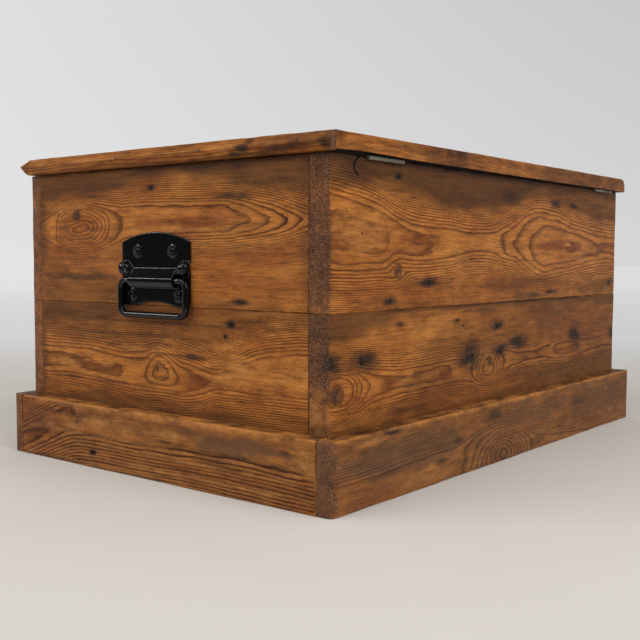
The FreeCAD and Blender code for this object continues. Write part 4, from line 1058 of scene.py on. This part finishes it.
def moulding(side, along_axis, way, mitres, shares, grain):
    """A nosed strip along one side of the lid, mitred where mitres says, worn, chipped and bruised."""
    node = f"lid_{side}_moulding"
    seed = MOULDING_SEEDS[side]
    low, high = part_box(node)
    out_axis = 1 - along_axis
    inner, outer = (low[out_axis], high[out_axis]) if way > 0 else (high[out_axis], low[out_axis])
    width = high[out_axis] - low[out_axis]
    outline, sharp = rounded_outline(shares, width, high.z - low.z)
    start, end = low[along_axis], high[along_axis]
    places = axis_places(start, end, NOSE_TUCK, NOSE_SPACING)
    tuck = np.clip(np.minimum(places - start, end - places) / NOSE_TUCK, 0, 1)
    tuck = 1 - NOSE_TUCK_SHARE * (1 - tuck) ** 2
    middle = outline.mean(axis=0)
    rings = []
    for place, squeeze in zip(places, tuck):
        ring = middle + (outline - middle) * squeeze
        first = start + mitres[0] * (width - ring[:, 0])
        last = end - mitres[1] * (width - ring[:, 0])
        spot = np.zeros((len(ring), 3))
        spot[:, along_axis] = first + (last - first) * ((place - start) / (end - start))
        spot[:, out_axis] = inner + way * ring[:, 0]
        spot[:, 2] = low.z + ring[:, 1]
        rings.append(spot)
    points = np.concatenate(rings)
    index = np.arange(len(points)).reshape(len(places), len(outline))
    ahead = np.roll(index, -1, axis=1)
    a, b, c, d = index[:-1], ahead[:-1], ahead[1:], index[1:]
    turned = (along_axis == 1) != (way > 0)
    quads = np.stack([corner.ravel() for corner in ((a, b, c, d) if turned else (a, d, c, b))], axis=1)
    caps = np.stack([index[0][::-1], index[-1]] if turned else [index[0], index[-1][::-1]])
    piece = mesh_from(f"{node}_worn", points, quads, caps)
    outward = read_points(piece.data, "normal").astype(float)
    arris = np.tile(sharp, len(places))
    shown = (points[:, out_axis] - inner) * way > NOSE_SHOWN
    noise = waves(points / MM, NOSE_CHIP_HUMPS, seed + 5)
    worn = NOSE_HOLLOW * (0.5 + 0.5 * np.clip(waves(points / MM, NOSE_HOLLOW_HUMPS, seed + 9), -1, 1))
    for place, reach, bite in BRUISES[side]:
        near = np.exp(-((points[:, along_axis] / MM - place) / reach) ** 2)
        worn += bite * near * soft_step(-0.2, 1.0, noise)
    worn += NOSE_CHIP * soft_step(0.8, 1.5, noise) * arris
    points = points - outward * (worn * MM * shown)[:, None]
    move_points(piece.data, points)
    dress_wood(piece, points, outward, grain, seed, (along_axis, 2), (outer, way), arris)
    finish_piece(piece, node, "lid", woods["pine_lid"])


LID_END = {
    "heart": [(-260, 350, 12, 0.3), (-100, 352, 12, 0.0), (60, 349, 12, 0.3), (180, 352, 12, -0.2),
        (262, 350, 12, 0.2)],
    "dark": [(150, 386, 9, 8, 1.0), (142, 378, 15, 6, 1.0), (128, 372, 14, 4, 0.9), (-200, 385, 7, 3, 0.5),
        (195, 375, 26, 2.0, 0.6), (215, 379, 12, 5, 0.45), (176, 369, 14, 2, 0.6), (-72, 377, 4, 2, 0.8),
        (-2, 377, 5, 2, 0.6), (-100, 380, 4, 2, 0.5), (256, 376, 8, 12, 0.5)],
    "grey": [(120, 368, 160, 5, 0.7), (205, 378, 50, 14, 0.6), (256, 379, 10, 14, 0.7),
        (-40, 369, 220, 3, 0.5), (-255, 378, 10, 14, 0.5)],
    "warm": [(-60, 379, 220, 12, 0.35), (200, 378, 52, 14, 0.9), (30, 375, 90, 8, 0.3)],
    "pale": [(105, 378, 20, 8, 0.4), (235, 382, 16, 8, 0.6), (-150, 380, 80, 8, 0.3)],
    "rubbed_and_highlit": 0.45, "joint_grime": 0.0,
}


LID_RISE = (368, 390)
LEFT_REACH = (-260, 260)
FRONT_REACH = (-390, 390)
MOULDING_SEEDS = {"right": 1201, "left": 1233, "front": 1267}
# Bruises of each moulding: place along it, half length and depth
BRUISES = {
    "right": ((230, 24, 0.8), (190, 20, 0.6), (147, 8, 1.0), (-240, 12, 0.5)),
    "left": ((200, 40, 0.8), (-60, 50, 0.6)),
    "front": ((-210, 60, 0.9), (40, 40, 0.7), (290, 50, 0.9)),
}


def unseen_moulding(side, along_axis, mitres, shares, reach, knots, stains, rubbed_and_highlit):
    """A moulding that the photograph doesn't show, its grain made up."""
    grain = plain_grain(MOULDING_SEEDS[side], reach, LID_RISE, knots, stains)
    grain.update({"rubbed_and_highlit": rubbed_and_highlit, "joint_grime": 0.0})
    moulding(side, along_axis, -1, mitres, shares, grain)


def make_mouldings():
    moulding("right", 1, 1, (1, 0), NOSE_SHARES, LID_END)
    unseen_moulding("left", 1, (1, 0), WORN_NOSE_SHARES, LEFT_REACH, 0, 2, 0.7)
    unseen_moulding("front", 0, (1, 1), NOSE_SHARES, FRONT_REACH, 1, 4, 0.8)


# Handles

BAIL_ROD = 4.0 * MM
RIDGE_RADIUS = 6.2 * MM
RIDGE_WIDTH = 1.3 * MM
RIDGE_HEIGHT = 0.75 * MM
EAR_SIZE = Vector((7.3, 8.0, 8.8)) * MM
EAR_PLACE = Vector((4.6, 51.6, 14.4)) * MM
EAR_FROM = 43.5 * MM
EAR_OUT = 1.8 * MM
EAR_ROUNDS = 60
EAR_BALL_FROM = 44.5 * MM
EAR_BALL_FULL = 48.5 * MM
SKIN_VOXEL = 0.62 * MM
SKIN_ROUNDS = 5
BALL_SEGMENTS = 32
BALL_RINGS = 20
# How far outward a normal points on the plate's rounded edge, and at least on its front
FRONT_FACING = (0.4, 0.8)
# Corners of the web that runs from the plate down to the hood beside each ear: outward, aside, up
WEB_CORNERS = ((0.5, 34, 13.5), (0.5, 48, 25), (10, 53, 20), (11.5, 47, 8), (11.5, 39.5, 7), (0.5, 46, 8))


def mesh_of(name, shape):
    """A mesh of an edited shape, which is then freed."""
    mesh = bpy.data.meshes.new(name)
    shape.to_mesh(mesh)
    shape.free()
    return mesh


def joined_mesh(name, parts):
    """One mesh of several, each given as a mesh and the matrix that places it."""
    joined = bmesh.new()
    for mesh, place in parts:
        copy = mesh.copy()
        copy.transform(place)
        joined.from_mesh(copy)
        bpy.data.meshes.remove(copy)
    return mesh_of(name, joined)


def ball_mesh(name):
    shape = bmesh.new()
    bmesh.ops.create_uvsphere(shape, u_segments=BALL_SEGMENTS, v_segments=BALL_RINGS, radius=1.0)
    return mesh_of(name, shape)


def hull_mesh(name, corners):
    """The mesh of the smallest convex body round a few corners."""
    shape = bmesh.new()
    for corner in corners:
        shape.verts.new(corner)
    bmesh.ops.convex_hull(shape, input=shape.verts)
    return mesh_of(name, shape)


def soften_ears(mesh, face, sign, middle):
    """Rounds the ears further than the rest of the pressed plate."""
    shape = bmesh.new()
    shape.from_mesh(mesh)
    ears = [vert for vert in shape.verts
            if abs(vert.co.y - middle) > EAR_FROM and (vert.co.x - face) * sign > EAR_OUT]
    for _ in range(EAR_ROUNDS):
        bmesh.ops.smooth_vert(shape, verts=ears, factor=0.5, use_axis_x=True, use_axis_y=True,
                              use_axis_z=True)
    shape.to_mesh(mesh)
    shape.free()


def pressed_mesh(name, mesh):
    """The mesh as one smooth skin, its corners softened as in pressed and painted steel."""
    piece = link(name, mesh)
    skin = piece.modifiers.new("skin", "REMESH")
    skin.mode = "VOXEL"
    skin.voxel_size = SKIN_VOXEL
    skin.use_smooth_shade = True
    soften = piece.modifiers.new("soften", "SMOOTH")
    soften.factor = 0.5
    soften.iterations = SKIN_ROUNDS
    made = bpy.data.meshes.new_from_object(piece.evaluated_get(bpy.context.evaluated_depsgraph_get()))
    piece.modifiers.clear()
    piece.data = made
    bpy.data.meshes.remove(mesh)
    return piece


def screw_centres(node):
    """The middle of each of the four screws that share a node, as (y, z)."""
    places = np.array([tuple(vertex.co)[1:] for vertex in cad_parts[node].data.vertices])
    middle = (places.max(axis=0) + places.min(axis=0)) / 2
    centres = []
    for across, up in itertools.product((-1, 1), repeat=2):
        own = places[((places - middle) * (across, up) > 0).all(axis=1)]
        centres.append((own.max(axis=0) + own.min(axis=0)) / 2)
    return centres


def swell_ears(points, face, sign, middle, height):
    """Blows the softened ears up to full balls."""
    aside = points[:, 1] - middle
    ear = np.stack([np.full(len(points), face + sign * EAR_PLACE.x), middle + np.sign(aside) * EAR_PLACE.y,
                    np.full(len(points), height + EAR_PLACE.z)], axis=1)
    reach = np.linalg.norm((points - ear) / np.array(EAR_SIZE), axis=1)
    share = soft_step(EAR_BALL_FROM, EAR_BALL_FULL, np.abs(aside)) * ((points[:, 0] - face) * sign > EAR_OUT)
    share = (share * (reach > 1))[:, None]
    return points + share * ((points - ear) / reach[:, None] + ear - points)


def raise_rings(points, front, sign, centres):
    """Presses a raised ring round each screw."""
    for y, z in centres:
        reach = np.hypot(points[:, 1] - y, points[:, 2] - z)
        points[:, 0] += sign * front * RIDGE_HEIGHT * np.exp(-((reach - RIDGE_RADIUS) / RIDGE_WIDTH) ** 2)


def repaint(node, material):
    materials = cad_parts[node].data.materials
    materials.clear()
    materials.append(material)


def make_handle(side, sign, paint):
    node = f"{side}_handle_plate"
    screws = f"{side}_handle_screws"
    bail = f"{side}_handle_bail"
    low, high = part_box(node)
    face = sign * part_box("right_end_upper_board")[1].x
    middle = (low.y + high.y) / 2
    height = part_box(bail)[1].z - BAIL_ROD
    ball = ball_mesh("ear")
    parts = [(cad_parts[node].data, Matrix.Identity(4))]
    for way in (-1, 1):
        spot = Vector((face + sign * EAR_PLACE.x, middle + way * EAR_PLACE.y, height + EAR_PLACE.z))
        parts.append((ball, Matrix.Translation(spot) @ Matrix.Diagonal((*EAR_SIZE, 1.0))))
        corners = [(face + sign * out * MM, middle + way * aside * MM, height + up * MM)
                   for out, aside, up in WEB_CORNERS]
        parts.append((hull_mesh("web", corners), Matrix.Identity(4)))
    piece = pressed_mesh(f"{side}_plate_pressed", joined_mesh(node, parts))
    bpy.data.meshes.remove(ball)
    soften_ears(piece.data, face, sign, middle)
    front = soft_step(*FRONT_FACING, read_points(piece.data, "normal")[:, 0] * sign)
    points = swell_ears(read_points(piece.data, "co"), face, sign, middle, height)
    raise_rings(points, front, sign, screw_centres(screws))
    move_points(piece.data, np.clip(points, np.array(low), np.array(high)))
    finish_piece(piece, node, "carcass", paint)
    repaint(screws, paint)
    repaint(bail, paint)


# The studio: a pale floor that rises into a pale wall behind the chest. The far floor and the wall glow with
# painted light.

FLOOR_SIZE = 60.0
FLOOR_COLOUR = (0.66, 0.625, 0.575)
FLOOR_MOTTLE = 0.015
ROOM_DIMMING = 0.91
BACKDROP_WAY = (-0.782, -0.623, 0.0)
BACKDROP_SIDE = (-0.623, 0.782, 0.0)
# Painted brightness of the floor's glow by the chest, at the wall's foot and all round; what the far floor
# adds
NEAR_LEVEL = 0.525
FOOT_LEVEL = 0.645
ROUND_LEVEL = 0.74
FAR_RISE = 0.12
# Distances behind the chest, aside of it and away from it, in metres, over which the floor changes
NEAR_REACH = (0.5, 1.6)
FAR_REACH = (1.6, 7.0)
ASIDE_REACH = (-0.8, 1.0)
ROUND_REACH = (2.2, 6.0)
WARM_REACH = (0.5, 1.7)
GLOW_BEHIND = (0.28, 0.56)
GLOW_AROUND = (1.4, 2.6)
# Painted light on the wall: its brightness on its left and right, how far it falls with height there, and how
# wide it is
WALL_LEVELS = (0.766, 0.672)
WALL_FALLS = (0.036, 0.094)
WALL_REACH = 0.31
WALL_HEIGHT = 0.26
# How far backward and how far upward a direction points where the backdrop ends
WALL_EDGE = (0.2, 0.6)
WALL_TOP = (0.3, 0.5)
WORLD_LEVEL = 0.5
LAMP_AIM = Vector((0.05, 0.0, 0.2))
# Each lamp's place, size and power
LAMPS = {
    "key": ((1.9, -0.5, 1.9), 1.9, 20.4),
    "fill": ((0.5, 2.2, 1.9), 2.2, 43.0),
    "glint": ((1.63, -1.8, 1.22), 0.30, 6.5),
}


def off_backdrop(shader, toward):
    """How much darker mirrored rays find the room away from the backdrop: none there or for the camera."""
    mirrored = 1.0 - shader.value("ShaderNodeLightPath", output="Is Camera Ray")
    return 1.0 - mirrored * (toward * ROOM_DIMMING)


def pale_colour(shader, level, warmth):
    """A nearly white colour of a level, warmer as warmth rises."""
    green = level * warmth.span(0, 1, 1.0, 0.945)
    blue = level * warmth.span(0, 1, 1.01, 0.87)
    return shader.colour(level, green, blue)


def show_to_seen_rays(shader, plain, shown, share=None):
    """Lets camera, glossy and transmission rays see a share of a surface, and other rays the plain one."""
    path = shader.node("ShaderNodeLightPath").outputs
    seen = Value(shader, path["Is Camera Ray"]).most(path["Is Glossy Ray"]).most(path["Is Transmission Ray"])
    seen = share * seen if share else seen
    blend = shader.node("ShaderNodeMixShader", {0: seen, 1: plain.outputs[0], 2: shown.outputs[0]})
    output = next(node for node in shader.tree.nodes if node.type.startswith("OUTPUT"))
    shader.put(output.inputs["Surface"], blend.outputs[0])


def make_floor():
    shader = Shader(bpy.data.materials.new("studio_floor"))
    place = shader.value("ShaderNodeNewGeometry", output="Position")
    tone = shader.noise(place, None, 5.0).span(*MIDDLE)
    colours = (toned(FLOOR_COLOUR, 1 - FLOOR_MOTTLE), toned(FLOOR_COLOUR, 1 + FLOOR_MOTTLE))
    shader.set(Base_Color=shader.mix(tone, *colours), Roughness=0.7, Specular_IOR_Level=0.1)
    behind = shader.vector("DOT_PRODUCT", place, BACKDROP_WAY, "Value")
    aside = shader.vector("DOT_PRODUCT", place, BACKDROP_SIDE, "Value")
    away = shader.vector("LENGTH", place, (), "Value")
    level = behind.span(*NEAR_REACH, NEAR_LEVEL, FOOT_LEVEL) + behind.span(*FAR_REACH, 0.0, FAR_RISE)
    level = level.most(away.span(*ROUND_REACH, NEAR_LEVEL, ROUND_LEVEL)) * aside.span(*ASIDE_REACH, 1.0, 0.93)
    level = level * off_backdrop(shader, behind.span(0.0, NEAR_REACH[0], 1.0, 0.0))
    warmth = behind.most(away - FAR_REACH[0]).span(*WARM_REACH, 1.0, 0.0)
    # Painted light: beyond the chest the floor glows, dimmer near it and brighter toward the wall, instead of
    # being lit
    glow = shader.node("ShaderNodeEmission", {0: pale_colour(shader, level, warmth)})
    far = behind.span(*GLOW_BEHIND, smooth=True).most(away.span(*GLOW_AROUND, smooth=True))
    show_to_seen_rays(shader, shader.surface, glow, far)
    bpy.ops.mesh.primitive_plane_add(size=FLOOR_SIZE, location=(0, 0, 0))
    floor = bpy.context.object
    floor.name = "studio_floor"
    floor.data.materials.append(shader.owner)


def make_world():
    world = bpy.data.worlds.new("studio")
    bpy.context.scene.world = world
    shader = Shader(world)
    plain = shader.tree.nodes["Background"]
    plain.inputs["Color"].default_value = (1.0, 1.0, 1.0, 1.0)
    plain.inputs["Strength"].default_value = WORLD_LEVEL
    way = shader.value("ShaderNodeTexCoord", output="Generated")
    behind, aside, height = (shader.vector("DOT_PRODUCT", way, axis, "Value")
                             for axis in (BACKDROP_WAY, BACKDROP_SIDE, (0, 0, 1)))
    # Painted light: the wall is brighter on the left than on the right and darker higher up
    fall = height.span(0.0, WALL_HEIGHT) * aside.span(-WALL_REACH, WALL_REACH, *WALL_FALLS)
    level = aside.span(-WALL_REACH, WALL_REACH, *WALL_LEVELS) - fall
    away = behind.span(*WALL_EDGE, 1.0, 0.0).most(height.span(*WALL_TOP))
    level = level * off_backdrop(shader, away)
    wall = shader.node("ShaderNodeBackground", {0: shader.colour(level, level, level * 1.01)})
    show_to_seen_rays(shader, plain, wall)


def make_lamp(name, place, size, power):
    """A soft square lamp that points at the chest."""
    data = bpy.data.lights.new(name, "AREA")
    data.shape = "SQUARE"
    data.size = size
    data.energy = power
    lamp = link(name, data)
    lamp.location = place
    lamp.rotation_mode = "QUATERNION"
    lamp.rotation_quaternion = (LAMP_AIM - Vector(place)).to_track_quat("-Z", "Y")


make_camera()
make_world()
make_floor()
for name, facts in LAMPS.items():
    make_lamp(name, *facts)
woods = {slot: wood_material(slot, *facts) for slot, facts in WOODS.items()}
make_carcass()
make_lid_boards()
make_mouldings()
japanned = painted_material("black_japanning")
make_handle("right", 1, japanned)
make_handle("left", -1, japanned)
finishes = {
    "hinge": metal_material("worn_steel", STEEL, STEEL_TARNISH, 0.36, 0.6),
    "nails": metal_material("dark_iron", IRON, IRON_RUST, 0.5, 0.8),
    "glue_blocks": block_material("sawn_pine"),
}
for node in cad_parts:
    for word, material in finishes.items():
        if word in node:
            repaint(node, material)
bpy.context.scene.view_settings.view_transform = "Standard"
